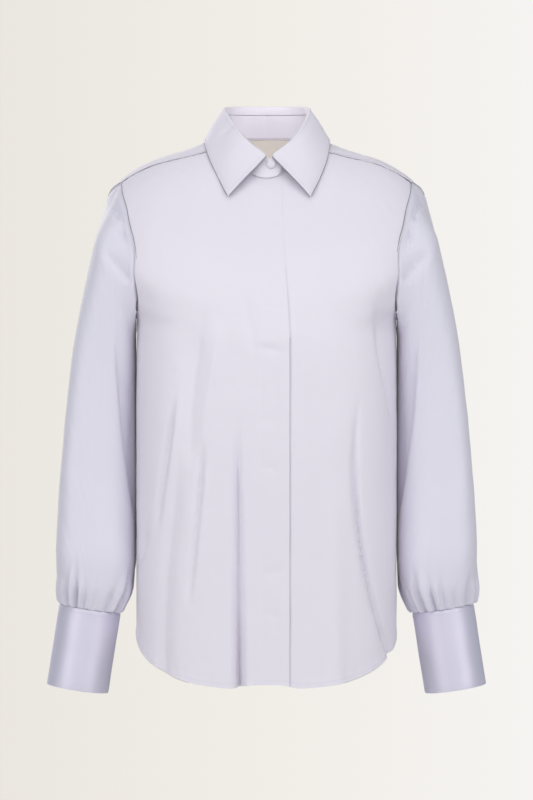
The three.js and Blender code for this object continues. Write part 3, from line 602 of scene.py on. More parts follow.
def cloth(node, outer, inner, size, held, rests_on=(), slot="satin", **form):
    """A shell that stands for a solid; size, its width, length and area when flat, is not used."""
    piece = stand_for(node, shell(f"cloth_{node}", outer, inner, **form))
    return piece


def stand_for(node, piece):
    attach(piece, "root")
    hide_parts(node)
    return piece


LAP_NEAR, LAP_FAR = 3, 26  # beyond the other front's edge, where a front comes back to the body


def over_lift(x, ring):
    edge = placket_x(ring) - UNDERLAP
    return front_lap(ring) * ramp(x, edge - LAP_FAR, edge - LAP_NEAR)


def under_lift(x, ring):
    edge = placket_x(ring)
    return -front_lap(ring) * (1 - ramp(x, edge + LAP_NEAR, edge + LAP_FAR))


def front_lap(ring):
    """It lies flatter near the neck."""
    return FRONT_LAP * lerp(0.75, 1, ramp(ring, 3, 6))


ARMHOLE_DITCH, SIDE_DITCH = 0.7, 0.45  # how deep these seams are, of a plain ditch


def armhole_share(points):
    """How deep the seam is down a panel's side, at the armhole and then below it."""
    row = np.arange(len(points))[:, None] * np.ones(points.shape[1])
    underarm = STEPS["armhole"] * DOWN
    return lerp(ARMHOLE_DITCH, SIDE_DITCH, ramp(row, underarm - 6, underarm + 6))


CLOSURE_BUTTONS = [-112, -166, -220, -274, -320, -365, -424, -484, -556, -610]
CLOSURE_BUTTON_X = 6


def closure_puckers(points):
    """Soft dimples where the hidden buttons hold the two fronts together."""
    x, z = points[..., 0], points[..., 2]
    depth = 0
    for i, button_z in enumerate(CLOSURE_BUTTONS):
        size = 0.7 + 0.5 * math.sin(2.3 * i + 1)
        slope = 0.25 * math.sin(1.9 * i)
        beside = x - CLOSURE_BUTTON_X
        above = z - button_z - slope * beside
        depth = depth + size * bell(beside - 3 * math.sin(i), 15) * bell(above, 5)
    return depth


PLACKET_SHOWS = -258  # the placket's edge gets a painted shade line below this
PLACKET_SHADE_LINE = -0.3, 0.33  # how that painted shade line is lifted, and its radius
HEM_SHOWS = 97  # the hem's edge gets a painted shade line further out than this
FRONT_STEPS = STEPS["frontNeck"] + STEPS["shoulder"]


def front(over):
    """The right front, which laps over, or the left one under it."""
    sign, offset, neck = (-1, 0, neck_over) if over else (1, -UNDERLAP, neck_under)
    flip = mirrored if over else np.asarray
    top = np.concatenate([neck, flip(shoulder)[1:]])
    bottom = ring_line(degrees_at(PLACKET_HEM_X + offset, HEM), sign * 90, HEM, FRONT_STEPS)
    end = np.concatenate([flip(armhole_front), flip(side)[1:]])
    points = panel(top, bottom, middle_edge(offset), end, over_lift if over else under_lift)
    if over:
        points[..., 1] += closure_puckers(points)
        points[..., 1] -= ditch(edge_distances(points)["start"] - PLACKET_WIDTH, 0.35, 1.4)
    points = finish_panel(points, {"end": armhole_share(points), "top": 2.2}, 1.0 if over else 2.0)
    normals = normals_out(points)
    body_stitches.sew_inside(points, normals, "bottom", HEM_WIDTH, 0 if over else UNDERLAP, 0)
    # Painted shade lines of dark thread: along the placket's edge, the hem's edge and the top edge
    # beyond the neck.
    if over:
        shows = points[:, 0, 2] < PLACKET_SHOWS
        draw_painted_shade_line(points[:, 0], normals[:, 0], shows, *PLACKET_SHADE_LINE)
    draw_painted_shade_line(points[-1], normals[-1], abs(points[-1, :, 0]) > HEM_SHOWS, EDGE_LIFT)
    draw_painted_shade_line(points[0], normals[0], slice(len(neck) - 1, None))
    if over:
        return drape("front_right", points, (0.262, 0.708, 0.168))
    return drape("front_left", points, (0.25, 0.708, 0.156))


YOKE_OVERLAP = 0.8  # how far the yoke's edges stand proud of the fronts and the back
YOKE_STITCHES = 2.2, 7  # two rows along its back edge, the first one at the shoulders too


def yoke_points():
    top = np.concatenate([shoulder[::-1], neck_back[1:], turned(shoulder)[1:]])
    points = panel(top, yoke_back, armhole_yoke, turned(armhole_yoke))
    edge = edge_distances(points)
    points = finish_panel(points, {"start": 1, "end": 1}, 3.0, hem=False)
    columns = np.arange(points.shape[1])
    at_neck = abs(columns - columns[-1] / 2) < STEPS["backNeck"] * ACROSS / 2
    lap = bell(edge["bottom"], 4) + bell(edge["top"], 4) * ~at_neck
    return raised(points, normals_out(points), YOKE_OVERLAP * lap), at_neck


def yoke():
    points, at_neck = yoke_points()
    normals = normals_out(points)
    for inset in YOKE_STITCHES:
        body_stitches.sew_inside(points, normals, "bottom", inset)
    shoulders, middle = np.flatnonzero(~at_neck), len(at_neck) / 2
    for half in (shoulders[shoulders < middle], shoulders[shoulders > middle]):
        body_stitches.sew_inside(points[:, half], normals[:, half], "top", YOKE_STITCHES[0])
    return drape("yoke", points, (0.47, 0.175, 0.0726), last=True), points


def back():
    start = np.concatenate([armhole_back, side[1:]])
    bottom = ring_line(90, 270, HEM, STEPS["backNeck"] + 2 * STEPS["shoulder"])
    points = panel(yoke_back, bottom, start, turned(start))
    share = armhole_share(points)
    points = finish_panel(points, {"start": share, "end": share, "top": 1.3}, 4.0)
    body_stitches.sew_inside(points, normals_out(points), "bottom", HEM_WIDTH)
    return drape("back", points, (0.47, 0.63, 0.275))


# ---------- Sleeves ----------
SLEEVE = columns_of(
    "outerX outerZ innerX innerZ ahead behind middleY",
    [
        [222, -133, 170.5, -266, 68, 62, -2],
        [236, -195, 169.8, -300, 62, 61, -2],
        [246, -250, 169.8, -335, 58, 60, -2],
        [256, -330, 169.8, -385, 56, 59, -3],
        [264, -410, 169.8, -445, 56, 60, -4],
        [270, -484, 169.8, -500, 59, 62, -6],
        [272, -530, 169.8, -538, 60, 62, -8],
        [271, -572, 174, -577, 55, 56, -9],
        [268.5, -601, 188.8, -613.5, 41, 41, -10],  # cuff seam
    ],
)
SLEEVE_FRONT_FOLDS = [
    [209, -75, 188, -101, 171, -134, 9, 9, 5, 2.4, 0.5, 2],
    [190, -112, 181, -128, 172, -144, 8, 9, 3, 1, 0.8, 2],
    [210, -141, 195, -163, 180, -182, 9, 4.5, 4, 1.2, 0.6, 1.5],
    [196, -225, 184, -363, 167, -500, 7, 10, 6, 2.2, 0.3, 1.3],
    [236, -170, 250, -300, 256, -430, 11, -2, -2, 1, 1, 2],
]
SLEEVE_BACK_FOLDS = [
    [206, -100, 196, -118, 186, -136, 7, 4, 4, 2, 0.5, 2],
    [200, -175, 206, -270, 214, -390, 11, 4, 3, 1, 0.5, 1.6],
    [240, -330, 244, -430, 240, -560, 12, 4, 3, 0.7, 1, 1.6],
    [196, -350, 192, -450, 204, -570, 11, 5, 3, 1.1, 0.5, 1.6],
]
SLEEVE_SQUARE = 3.6  # how square a sleeve's section is; 2 is an ellipse
INNER_BEHIND = 18  # how far the sleeve's inner side lies behind the body's
CUFF_SEAM = 9
GATHER_TOP = 7
GATHER_HEIGHT = 0.16  # of the sleeve's radius
TUBE_COLUMNS = 216  # of a sleeve
SLEEVE_ROWS = np.concatenate([np.linspace(0, 7, 100)[:-1], np.linspace(7, CUFF_SEAM, 60)])
CUFF_OPENING = math.radians(250)


def sleeve_section(turn, row):
    """A point of a sleeve's section, and the section's middle; 90 degrees is its front."""
    outer_x, outer_z, inner_x, inner_z, ahead, behind, y = (f(row - 1) for f in SLEEVE.values())
    middle = vector((outer_x + inner_x) / 2, y, (outer_z + inner_z) / 2)
    outward = vector(outer_x, y, outer_z) - middle
    square = lerp(SLEEVE_SQUARE, 2, ramp(row, GATHER_TOP, CUFF_SEAM))
    reach = (abs(np.cos(turn)) ** square + abs(np.sin(turn)) ** square) ** (-1 / square)
    point = middle + outward * (reach * np.cos(turn))[..., None]
    point[..., 1] -= np.where(np.sin(turn) > 0, ahead, behind) * reach * np.sin(turn)
    inner_y = INNER_BEHIND * (1 - ramp(row, GATHER_TOP, CUFF_SEAM))
    point[..., 1] += inner_y * np.maximum(0, -np.cos(turn)) ** 2
    return point, middle


def gather(turn, row, seed):
    """Broad soft ridges between narrow valleys, uneven in height and length."""
    top = GATHER_TOP + 0.5 + 0.45 * np.sin(3 * turn + seed) * np.sin(7 * turn)
    height = 0.6 + 0.4 * np.sin(4 * turn + 3 * seed)
    drawn_in = 1 - 0.3 * ramp(row, CUFF_SEAM - 0.1, CUFF_SEAM)
    ridge = 2 * ((1 + np.cos(GATHERS * turn)) / 2) ** 0.55 - 1
    return GATHER_HEIGHT * height * ramp(row, top, CUFF_SEAM - 0.25) * drawn_in * ridge


ARMHOLE_UP = unit(np.array([20.0, 0, 82]))  # the armhole's long way
ARMHOLE_HALF_SIZE = 68, 84  # across and along it
ARMHOLE_AIM = np.array([0, -2, -150])  # what the sleeve's turned-in rim points to, beside it
SWELL_RADIUS = 70  # of the round that a sleeve's swells are measured on
SLIT_RADIUS = 41  # of the sleeve at the cuff
SLIT_END = 50, 62  # where the slit dies out, above the cuff


def armhole_loop(sign):
    """The curve round an armhole, the turn where it starts, and its middle."""
    lines = armhole_front, armhole_back[::-1], armhole_yoke[::-1]

    def joined(front, rear, over):
        places = np.concatenate([front, rear[1:], over[1:-1]])
        return body(sign * places[:, 0], places[:, 1]) * [sign, 1, 1]

    loop = joined(*lines)
    middle = joined(*(line[::DOWN] for line in lines)).mean(0)
    across, up = -(loop - middle)[:, 1], (loop - middle) @ ARMHOLE_UP
    turns = np.unwrap(np.arctan2(across / ARMHOLE_HALF_SIZE[0], up / ARMHOLE_HALF_SIZE[1]))
    ends = np.append(turns - turns[0], TAU)
    ring = np.append(loop, loop[:1], 0)

    def loop_at(turn):
        along = np.mod(turn - turns[0], TAU)
        return np.stack([np.interp(along, ends, ring[:, i]) for i in range(3)], -1)

    return loop_at, turns[0], middle


def sleeve_form(turn, row, origin, middle):
    """A sleeve's points and the middle of each section; its cap eases out of the armhole."""
    section, centre = sleeve_section(turn, np.maximum(row, 1))
    ahead, _ = sleeve_section(turn, np.full_like(row, 1.01))
    first, _ = sleeve_section(turn, np.ones_like(row))
    step = (ahead - first) / 0.01
    t = np.minimum(row, 1)[..., None]
    s = 1 - t
    point = origin * s * s * (1 + 2 * t) + section * t * t * (3 - 2 * t)
    point = point + (section - origin) * t * s * s - step * t * t * s
    return point, np.where(t < 1, lerp(middle, centre, t), centre)


def sleeve(sign, seed, name):
    loop_at, start, middle = armhole_loop(sign)
    even = start + np.linspace(0, TAU, TUBE_COLUMNS, endpoint=False)
    rim = loop_at(even)
    even, row = np.meshgrid(even, SLEEVE_ROWS)
    uneven = 0.07 * np.sin(2 * even + seed) + 0.035 * np.sin(5 * even + 2 * seed)
    turn = even + ramp(row, GATHER_TOP - 3, GATHER_TOP) * uneven
    point, centre = sleeve_form(turn, row, loop_at(turn), middle)
    arm, x, z = unit(point - centre), point[..., 0], point[..., 2]
    depth = folds_at(-arm[..., 1], SLEEVE_FRONT_FOLDS, SLEEVE_BACK_FOLDS, x, z)
    point = raised(point, arm, -depth * ramp(row, 0, 0.3))
    gathered = np.where(row > GATHER_TOP, gather(even, row, seed), 0)
    point = centre + (point - centre) * (1 + gathered)[..., None]

    around, down = lengths(wrapped(point), 1)[:, :-1], lengths(point, 0)
    to_cuff = down[-1:] - down
    u, v = SWELL_RADIUS * np.cos(even - start), SWELL_RADIUS * np.sin(even - start)
    height = 0.5 * waves(u, v + 0.5 * down, 64, seed) + 0.25 * waves(u + down, v, 30, seed + 2)
    low = ramp(-rim[:, 2], 70, 240)
    rim_ditch = ditch(down, lerp(2, 6, low), lerp(2, 4.5, low))
    height += pucker(around, down, seed, 0.12, 13, 12) + rim_ditch
    height += ditch(to_cuff, 1, 1.8) * (0.5 + 0.5 * np.cos(GATHERS * even + seed))
    from_slit = np.mod(even - CUFF_OPENING + 0.3 + math.pi, TAU) - math.pi
    height += ditch(from_slit * SLIT_RADIUS, 0.8, 1.3) * (1 - ramp(to_cuff, *SLIT_END))
    point = raised(point, facing_out(grid_normals(point, True), point - centre), height)

    out = facing_out(grid_normals(point, True), point - centre)
    inner = point - out * SATIN
    inner[0] = point[0] + unit((ARMHOLE_AIM - rim) * [0, 1, 1]) * SATIN
    for layer in (point, inner):
        layer[0, :, 0] += 2 * HALF_GAP
    point, inner = (drawn_back(p, first=False, sides=False) * [sign, 1, 1] for p in (point, inner))
    # The painted shade line of dark thread at the armhole seam stands mostly forward of the rim,
    # and further off it low down.
    up = unit(out[0] * [0.2 * sign, 1, 0.6])
    line = raised(point[0], up, 1.7 + 1.8 * ramp(-rim[:, 2], 70, 130) + 1.4 * low)
    draw_painted_shade_line(*(np.append(v, v[:1], 0) for v in (line, up)), lift=0)
    return cloth(f"sleeve_{name}", point, inner, (0.42, 0.6, 0.19), "gathered", wrap=True)


# ---------- Bands with lapped ends: the cuffs and the collar's stand ----------
def lap_off(from_first, from_last, lap):
    """How far a lapped band stands off, past its first end or before its last."""
    return LAP_STEP * (ramp(from_last, lap, 2 * lap) - ramp(from_first, lap, 2 * lap))


EDGE_STITCH = 5  # from the edge of the collar and the cuffs


def cuff_relief(points):
    """Its height over its plain form: rounded free edges, sunk stitches, a groove at its seam."""
    edge = edge_distances(points)
    height = ditch(edge["top"], 0.5, 1.6)
    for name in ("bottom", "start", "end"):
        height += ditch(edge[name], 0.45, 0.9)
        height += ditch(edge[name] - EDGE_STITCH, 0.22, 1.2)
    return height


cuff_section, cuff_middle = sleeve_section(np.array(0.0), np.array(float(CUFF_SEAM)))
CUFF_OUTWARD = unit(cuff_section - cuff_middle)
CUFF_DOWN = np.array([CUFF_OUTWARD[2], 0, -CUFF_OUTWARD[0]])


def cuff_out(turn):
    return np.cos(turn)[..., None] * CUFF_OUTWARD + vector(0, -np.sin(turn), 0)


def cuff_point(turn, part, off):
    top = raised(cuff_middle, CUFF_DOWN, CUFF_GAP + part * CUFF_DEPTH)
    return raised(top, cuff_out(turn), CUFF_RADIUS + off)


def cuff(sign, seed, name):
    lap = CUFF_LAP / CUFF_RADIUS
    whole = TAU + lap
    along, part = np.meshgrid(np.linspace(0, 1, 250), np.linspace(0, 1, 44))
    turn = CUFF_OPENING - whole * along
    out = cuff_out(turn)
    points = cuff_point(turn, part, lap_off(along * whole, (1 - along) * whole, lap))
    height = cuff_relief(points)
    height += 0.35 * waves(along * whole * CUFF_RADIUS, part * CUFF_DEPTH, 55, seed)
    outer = raised(points, out, height)
    inner = raised(points, out, 0.35 * height * (height < 0) - INTERLINED)
    flip = np.array([sign, 1, 1])
    for edge in ("start", "bottom", "top"):
        line, normals = line_inside(outer, out, edge, EDGE_STITCH, (EDGE_STITCH, EDGE_STITCH))
        cuff_stitches.sew(line * flip, normals * flip)
    size, rests_on = (0.278, 0.106, None), [f"cloth_sleeve_{name}"]
    return cloth(f"cuff_{name}", outer * flip, inner * flip, size, "stretched", rests_on)


# ---------- Collar ----------
# Every 30 degrees from the front's middle to the back's.
COLLAR = columns_of(
    "rollX rollY rollZ rise rollWidth edgeX edgeY edgeZ clearance bow",
    [
        [0, -66, -26.7, 4, 7.5, 51, -84, -84.5, 7, 3],
        [27.5, -57, -3.5, 6, 6.5, 65, -74, -55, 3.2, 4],
        [45, -33, 21, 8, 5.6, 77.5, -46, -24.5, 3.2, 2],
        [53, 0, 41, 10, 5.2, 82, -2, -4, 3.2, 1],
        [48.5, 31, 46, 11, 5.2, 72, 42, -7, 3.2, 1],
        [29, 52, 48.5, 12, 5.2, 42, 74, -12, 3.2, 0],
        [0, 59, 49, 12, 5.2, 0, 85, -15, 3.2, 0],
    ],
)
COLLAR_OPENING = 4  # degrees from the closure to the start of each leaf
STAND_END_RADIUS = 9
STAND_STITCH = 3  # from its edges
STAND_SUNK = 1.2  # how far it reaches below the neck's seam


def collar_place(angle):
    around = np.mod(angle, TAU)
    return np.minimum(around, TAU - around) / math.radians(30)


def side_of(angle):
    return np.where(np.sin(angle) < 0, -1, 1)


def closure_shift(angle):
    return CLOSURE_X * ramp(np.cos(angle), -0.2, 1)


def roll_point(angle):
    at = collar_place(angle)
    x = side_of(angle) * COLLAR["rollX"](at) + closure_shift(angle)
    return vector(x, COLLAR["rollY"](at), COLLAR["rollZ"](at))


def neck_out(angle):
    return vector(np.sin(angle), -np.cos(angle), 0)


def stand_point(angle, part, off):
    foot = body_form(angle, np.zeros_like(angle)) + neck_out(angle) * 0.5 - [0, 0, STAND_SUNK]
    top = roll_point(angle) + neck_out(angle) * INTERLINED
    top[..., 2] -= COLLAR["rise"](collar_place(angle))
    point = lerp(foot, top, part[..., None])
    point[..., 1] -= off
    return point


STAND_FIRST = neck_over[0, 0]
STAND_LAST = neck_under[0, 0] - TAU
STAND_LAP = STAND_FIRST - (STAND_LAST + TAU)


def stand_lift(turn):
    return lap_off(STAND_FIRST - turn, turn - STAND_LAST, 1.1 * STAND_LAP)


def stand():
    corner = STAND_END_RADIUS / float(BODY["front"](0))
    ends = STAND_FIRST - corner * (1 - np.cos(np.linspace(0, math.pi / 2, 12)))
    turn = np.append(ends, np.linspace(STAND_FIRST - corner, STAND_LAST, 230)[1:])
    turn, part = np.meshgrid(turn, np.linspace(0, 1, 18))
    out, zero = neck_out(turn), np.zeros(1)
    height = np.linalg.norm(stand_point(zero, zero + 1, 0) - stand_point(zero, zero, 0))
    from_end = np.clip((STAND_FIRST - turn) / corner, 0, 1)
    cut = STAND_END_RADIUS / height * (1 - np.sqrt(1 - (1 - from_end) ** 2))
    points = stand_point(turn, cut + part * (1 - 2 * cut), stand_lift(turn))
    edge = edge_distances(points)
    bumps = ditch(np.minimum(edge["start"], edge["end"]), 0.4, 0.9)
    bumps += ditch(edge["bottom"], 0.6, 1.6) + 0.2 * waves(edge["start"], edge["top"], 40, 5)
    outer = raised(points, out, bumps)
    for name, clear in (("start", 3), ("bottom", 4)):
        collar_stitches.sew_inside(outer, out, name, STAND_STITCH, clear)
    inner = points - out * INTERLINED
    return cloth("collar_stand", outer, inner, (0.46, 0.046, 0.0165), "stretched")


def collar_line(angle):
    """The collar's upper face across its width at an angle: up from the stand, over and down."""
    angle = np.array(angle)
    here = {name: float(curve(collar_place(angle))) for name, curve in COLLAR.items()}
    roll, out = roll_point(angle), neck_out(angle)
    roll[1] -= stand_lift(angle)
    seat = nearest_place(*(here[name] for name in ("edgeX", "edgeY", "edgeZ")))
    edge = body_form(*seat) + form_normal(*seat) * here["clearance"]
    edge[0] = side_of(angle) * edge[0] + closure_shift(angle)
    # Over the roll: how far across it, and how far below its top.
    profile = [(0, here["rise"] - 0.6), (0.04, 1.7), (0.22, 0.4), (0.55, 0), (0.85, 0.9), (1, 3)]
    line = [roll + out * part * here["rollWidth"] - [0, 0, down] for part, down in profile]
    last = line[-1]
    for part in np.linspace(0.2, 1, 5):
        line.append(lerp(last, edge, part) + out * 4 * part * (1 - part) * here["bow"])
    return np.array(line)


COLLAR_SHOWS = 12  # rows of its ends that lie hidden at the stand
COLLAR_SHADOW_LINE_RADIUS = 0.65  # of the painted shade line along its free edges


def collar():
    opening = math.radians(COLLAR_OPENING)
    # Columns and rows lie close together at the free edges, which are rounded.
    spread = [0, 0.001, 0.002, 0.0035, *np.linspace(0.005, 0.995, 289), 0.9965, 0.998, 0.999, 1]
    angles = -opening - (TAU - 2 * opening) * np.array(spread)
    t = [*np.linspace(0, 0.5, 16)[:-1], *np.linspace(0.5, 0.97, 31)[:-1], *np.linspace(0.97, 1, 6)]
    points = np.stack([spline(collar_line(angle), np.array(t)) for angle in angles], 1)
    normals = grid_normals(points)
    normals = normals * np.sign((normals[-1] * neck_out(angles)).sum())
    edge = edge_distances(points)
    run, fall = edge["start"], edge["top"]
    height = 0.55 * waves(run, fall, 58, 2.2) + 0.2 * waves(run, fall, 24, 3.1)
    height = height * ramp(fall, 12, 26) + ditch(fall, 0.6, 1.6)
    for distance in (edge["start"], edge["end"], edge["bottom"]):
        height += ditch(distance, 1.5, 1.1) + ditch(distance - EDGE_STITCH, 0.25, 1.2)
        height += 0.12 * np.sin(run / 1.9) * bell(distance - EDGE_STITCH, 3)
    # A soft dent in the right leaf, near its fold.
    x, z = points[..., 0] + 52, points[..., 2] - 8.6
    height -= 1.4 * np.exp(-(((x * 0.8 + z * 0.6) / 11) ** 2) - ((z * 0.8 - x * 0.6) / 3.2) ** 2)
    outer = raised(points, normals, height)
    for name, clear in (("start", 14), ("end", 14), ("bottom", EDGE_STITCH)):
        collar_stitches.sew_inside(outer, normals, name, EDGE_STITCH, clear, EDGE_STITCH)
    # Dark thread along its free edges and the ends that show: painted shade under the leaves'
    # edges.
    draw_painted_shade_line(outer[-1], normals[-1], lift=EDGE_LIFT, radius=COLLAR_SHADOW_LINE_RADIUS)
    for end in (0, -1):
        line, ups = outer[COLLAR_SHOWS:, end], normals[COLLAR_SHOWS:, end]
        draw_painted_shade_line(line, ups, lift=EDGE_LIFT, radius=COLLAR_SHADOW_LINE_RADIUS)
    size, inner = (0.52, 0.115, 0.0375), points - normals * INTERLINED
    return cloth("collar", outer, inner, size, "folded", ["cloth_collar_stand"])


# ---------- Label ----------
LABEL = {"half_width": 30, "rows": (0.06, 1.35), "sewn": ("start", "end")}
TAB = {"half_width": 7, "rows": (1.4, 1.75), "sewn": ("start",)}
LABEL_GAP = 0.6  # behind it
LABEL_THICKNESS = 0.7
LEAST_LENGTH = 0.0101  # of the tab's flat size, in metres: a sheet is over 10 mm each way


def label(node, yoke_outer, half_width, rows, sewn):
    """A bare woven ribbon inside the yoke, under the neck seam."""
    normals = normals_out(yoke_outer)
    middle = (yoke_outer.shape[1] - 1) / 2
    r = np.linspace(rows[0] * DOWN, rows[1] * DOWN, 16)[:, None]
    beside = np.linalg.norm(yoke_outer[:, int(middle) + 1] - yoke_outer[:, int(middle)], axis=-1)
    spacing = np.interp(r, np.arange(len(beside)), beside)
    c = middle + np.linspace(-1, 1, 41)[None, :] * half_width / spacing
    i, j = np.floor(r).astype(int), np.floor(c).astype(int)
    down, across = (r - i)[..., None], (c - j)[..., None]

    def at(grid):
        upper = lerp(grid[i, j], grid[i, j + 1], across)
        return lerp(upper, lerp(grid[i + 1, j], grid[i + 1, j + 1], across), down)

    inward = -unit(at(normals))
    back_face = at(yoke_outer) + inward * (SATIN + LABEL_GAP)
    edge = edge_distances(back_face)
    nearest = np.minimum.reduce(list(edge.values()))
    lift = LABEL_THICKNESS + 0.12 * (1 - ramp(nearest, 2, 3)) + ditch(nearest, 0.3, 0.5)
    front_face = raised(back_face, inward, lift)
    length = max(float(edge["top"][-1].mean()) / 1000, LEAST_LENGTH)
    size = (2 * half_width / 1000, length, None)
    piece = cloth(node, front_face, back_face, size, "stretched", ["cloth_yoke"], "label")
    for name in sewn:
        label_stitches.sew(*line_inside(front_face, inward, name, 2, (1, 1)), 0.05)
    return piece


# ---------- Buttons ----------
BUTTON_GAP = 0.3  # under it
CUFF_BUTTONS = (0.28, 0.72)  # of the cuff's depth


def button(name, seat, outward):
    """A button covered in the blouse's satin, domed, with its rim turned under."""
    profile = [(0, 0), (0.55, 0), (0.9, 0.06), (1, 0.25), (0.985, 0.45), (0.9, 0.68)]
    profile += [(0.74, 0.86), (0.5, 0.96), (0.25, 0.995), (0, 1)]
    curve = spline(np.array(profile) * [BUTTON_RADIUS, BUTTON_HEIGHT], np.linspace(0, 1, 22))
    curve[:, 0] = np.maximum(curve[:, 0], 0)
    across = unit(np.cross(outward, [0.31, 0.2, 0.93]))
    other = np.cross(outward, across)
    turn = np.linspace(0, TAU, 48, endpoint=False)
    crimp = 1 + 0.012 * np.sin(16 * turn)
    around = np.cos(turn)[:, None] * across + np.sin(turn)[:, None] * other
    rings = []
    for r, h in curve[1:-1]:
        wide = r * np.where(h < 1.6, crimp, 1)
        rings.append(seat + (BUTTON_GAP + h) * outward + around * wide[:, None])
    ends = [seat + (BUTTON_GAP + h) * outward for h in curve[[0, -1], 1]]
    points = np.concatenate([*rings, ends])
    index = wrapped(np.arange(len(rings) * len(turn)).reshape(len(rings), -1))
    faces = [triangles_of(faces_of(index))]
    for end, ring in ((len(points) - 2, index[0, ::-1]), (len(points) - 1, index[-1])):
        faces.append(np.stack([0 * ring[1:] + end, ring[:-1], ring[1:]], -1))
    return stand_for(name, make_mesh(f"covered_{name}", points, np.concatenate(faces)))


def buttons():
    closure = np.array(math.asin(CLOSURE_X / float(BODY["half_width"](NECK))))
    part, zero = np.array(0.66), np.array(0.0)
    up = unit(stand_point(closure, zero + 1, 0) - stand_point(closure, zero, 0))
    along = stand_point(closure + 0.1, part, 0) - stand_point(closure - 0.1, part, 0)
    made = [button("neck_button", stand_point(closure, part, LAP_STEP), unit(np.cross(along, up)))]
    turn = np.array(CUFF_OPENING - CUFF_LAP / CUFF_RADIUS / 2)
    for name, sign in (("right", -1), ("left", 1)):
        for i, depth in enumerate(CUFF_BUTTONS):
            seat = cuff_point(turn, depth, LAP_STEP) * [sign, 1, 1]
            made.append(button(f"cuff_{name}_button_{i + 1}", seat, cuff_out(turn) * [sign, 1, 1]))
    return made


# ---------- Materials ----------
class Nodes:
    """A node tree, with short ways to add to it."""

    def __init__(self, owner, shader="Principled BSDF"):
        owner.use_nodes = True
        self.owner, self.tree = owner, owner.node_tree
        self.shader = self.tree.nodes[shader]

    def put(self, value, socket):
        if isinstance(value, bpy.types.NodeSocket):
            self.tree.links.new(value, socket)
        else:
            socket.default_value = value

    def add(self, kind, inputs=(), output=0, **settings):
        """Adds a node, and returns one of its outputs."""
        node = self.tree.nodes.new(kind)
        for key, value in settings.items():
            setattr(node, key, value)
        for key, value in dict(inputs).items():
            self.put(value, node.inputs[key])
        return node.outputs[output]

    def set(self, **values):
        for key, value in values.items():
            self.put(value, self.shader.inputs[key.replace("_", " ")])

    def noise(self, where, scale, detail=2.0):
        """Noise of one scale, or of three along its axes."""
        if isinstance(scale, tuple):
            where = self.add("ShaderNodeMapping", {"Vector": where, "Scale": scale})
            scale = 1.0
        inputs = {"Vector": where, "Scale": scale, "Detail": detail}
        return self.add("ShaderNodeTexNoise", inputs, "Fac")

    def mix(self, factor, low, high):
        colours = {"Factor": factor, "A": (*low, 1), "B": (*high, 1)}
        return self.add("ShaderNodeMix", colours, "Result", data_type="RGBA")

    def bump(self, height, strength, distance=0.0002, **over):
        inputs = {"Height": height, "Strength": strength, "Distance": distance}
        return self.add("ShaderNodeBump", {**inputs, **over}, "Normal")


def material(name):
    return Nodes(bpy.data.materials.new(name))


SATIN_COLOUR = np.array((0.83, 0.805, 0.885))
SATIN_SHADE = np.array((0.80, 0.775, 0.86))


def satin(name, tint=(1.0, 1.0, 1.0), **finish):
    """Satin whose threads run down the piece; tint scales its colour, as painted shade for the
    sleeves and cuffs; finish sets how its face takes the light.
    """
    nodes = material(name)
    cut = nodes.add("ShaderNodeUVMap", uv_map="cut")
    # Floats of thread, about 0.35 mm wide and 3 mm long, and slow changes of the weave's tension.
    threads = nodes.noise(cut, (2800, 330, 1))
    tension = nodes.noise(cut, (34, 15, 1), 3.0)
    rough = {"Value": tension, "To Min": 0.5, "To Max": 0.58}
    fine = nodes.bump(threads, 0.12)
    nodes.set(
        Base_Color=nodes.mix(threads, SATIN_SHADE * tint, SATIN_COLOUR * tint),
        Roughness=nodes.add("ShaderNodeMapRange", rough, "Result"),
        Normal=nodes.bump(tension, 0.25, 0.0016, Normal=fine),
        Tangent=nodes.add("ShaderNodeTangent", direction_type="UV_MAP", uv_map="cut"),
        Sheen_Roughness=0.4,
        Sheen_Tint=(1.0, 0.95, 0.96, 1),
        IOR=1.5,
        Specular_Tint=(1.0, 0.94, 0.95, 1),
        **finish,
    )
    return nodes


THREAD_COLOURS = np.array(((0.72, 0.70, 0.79), (0.80, 0.78, 0.86)))
SHADE_LINE_LIGHTNESS = 0.36  # how light the thread of the painted shade lines is, of a topstitch's


def thread(name, shade=1.0):
    nodes = material(name)
    twist = nodes.noise(nodes.add("ShaderNodeTexCoord", output="Object"), 900.0)
    colour, bump = nodes.mix(twist, *THREAD_COLOURS * shade), nodes.bump(twist, 0.4)
    nodes.set(Base_Color=colour, Roughness=0.55, Normal=bump)
    return nodes


def covered():
    """Satin stretched over a button: no map of its own, so its threads follow the place."""
    nodes = material("satin over buttons")
    where = nodes.add("ShaderNodeTexCoord", output="Object")
    threads = nodes.noise(where, (2600, 2600, 400))
    nodes.set(
        Base_Color=nodes.mix(threads, SATIN_SHADE * 0.9, SATIN_COLOUR * 0.92),
        Roughness=0.34,
        Normal=nodes.bump(threads, 0.2),
        Sheen_Weight=0.2,
        Sheen_Roughness=0.4,
    )
    return nodes


def woven_label():
    nodes = material("cream woven ribbon")
    cut = nodes.add("ShaderNodeUVMap", uv_map="cut")
    wave = {"Vector": cut, "Scale": 420.0, "Distortion": 0.6}
    ribs = nodes.add("ShaderNodeTexWave", wave, "Fac", bands_direction="Y")
    colour = nodes.mix(nodes.noise(cut, 1500.0), (0.84, 0.79, 0.70), (0.93, 0.89, 0.82))
    nodes.set(Base_Color=colour, Roughness=0.6, Normal=nodes.bump(ribs, 0.35))
    return nodes


def paint(nodes, *pieces):
    for piece in pieces:
        piece.data.materials.append(nodes.owner)


# ---------- The blouse ----------
cloth_yoke, yoke_outer = yoke()
soft = [front(over=True), front(over=False), back(), cloth_yoke, stand(), collar()]
sleeves, cuffs = [], []
for name, sign, seed in (("right", -1, 1.3), ("left", 1, 4.1)):
    sleeves.append(sleeve(sign, seed, name))
    cuffs.append(cuff(sign, seed, name))
labels = [label("neck_label", yoke_outer, **LABEL), label("size_tab", yoke_outer, **TAB)]
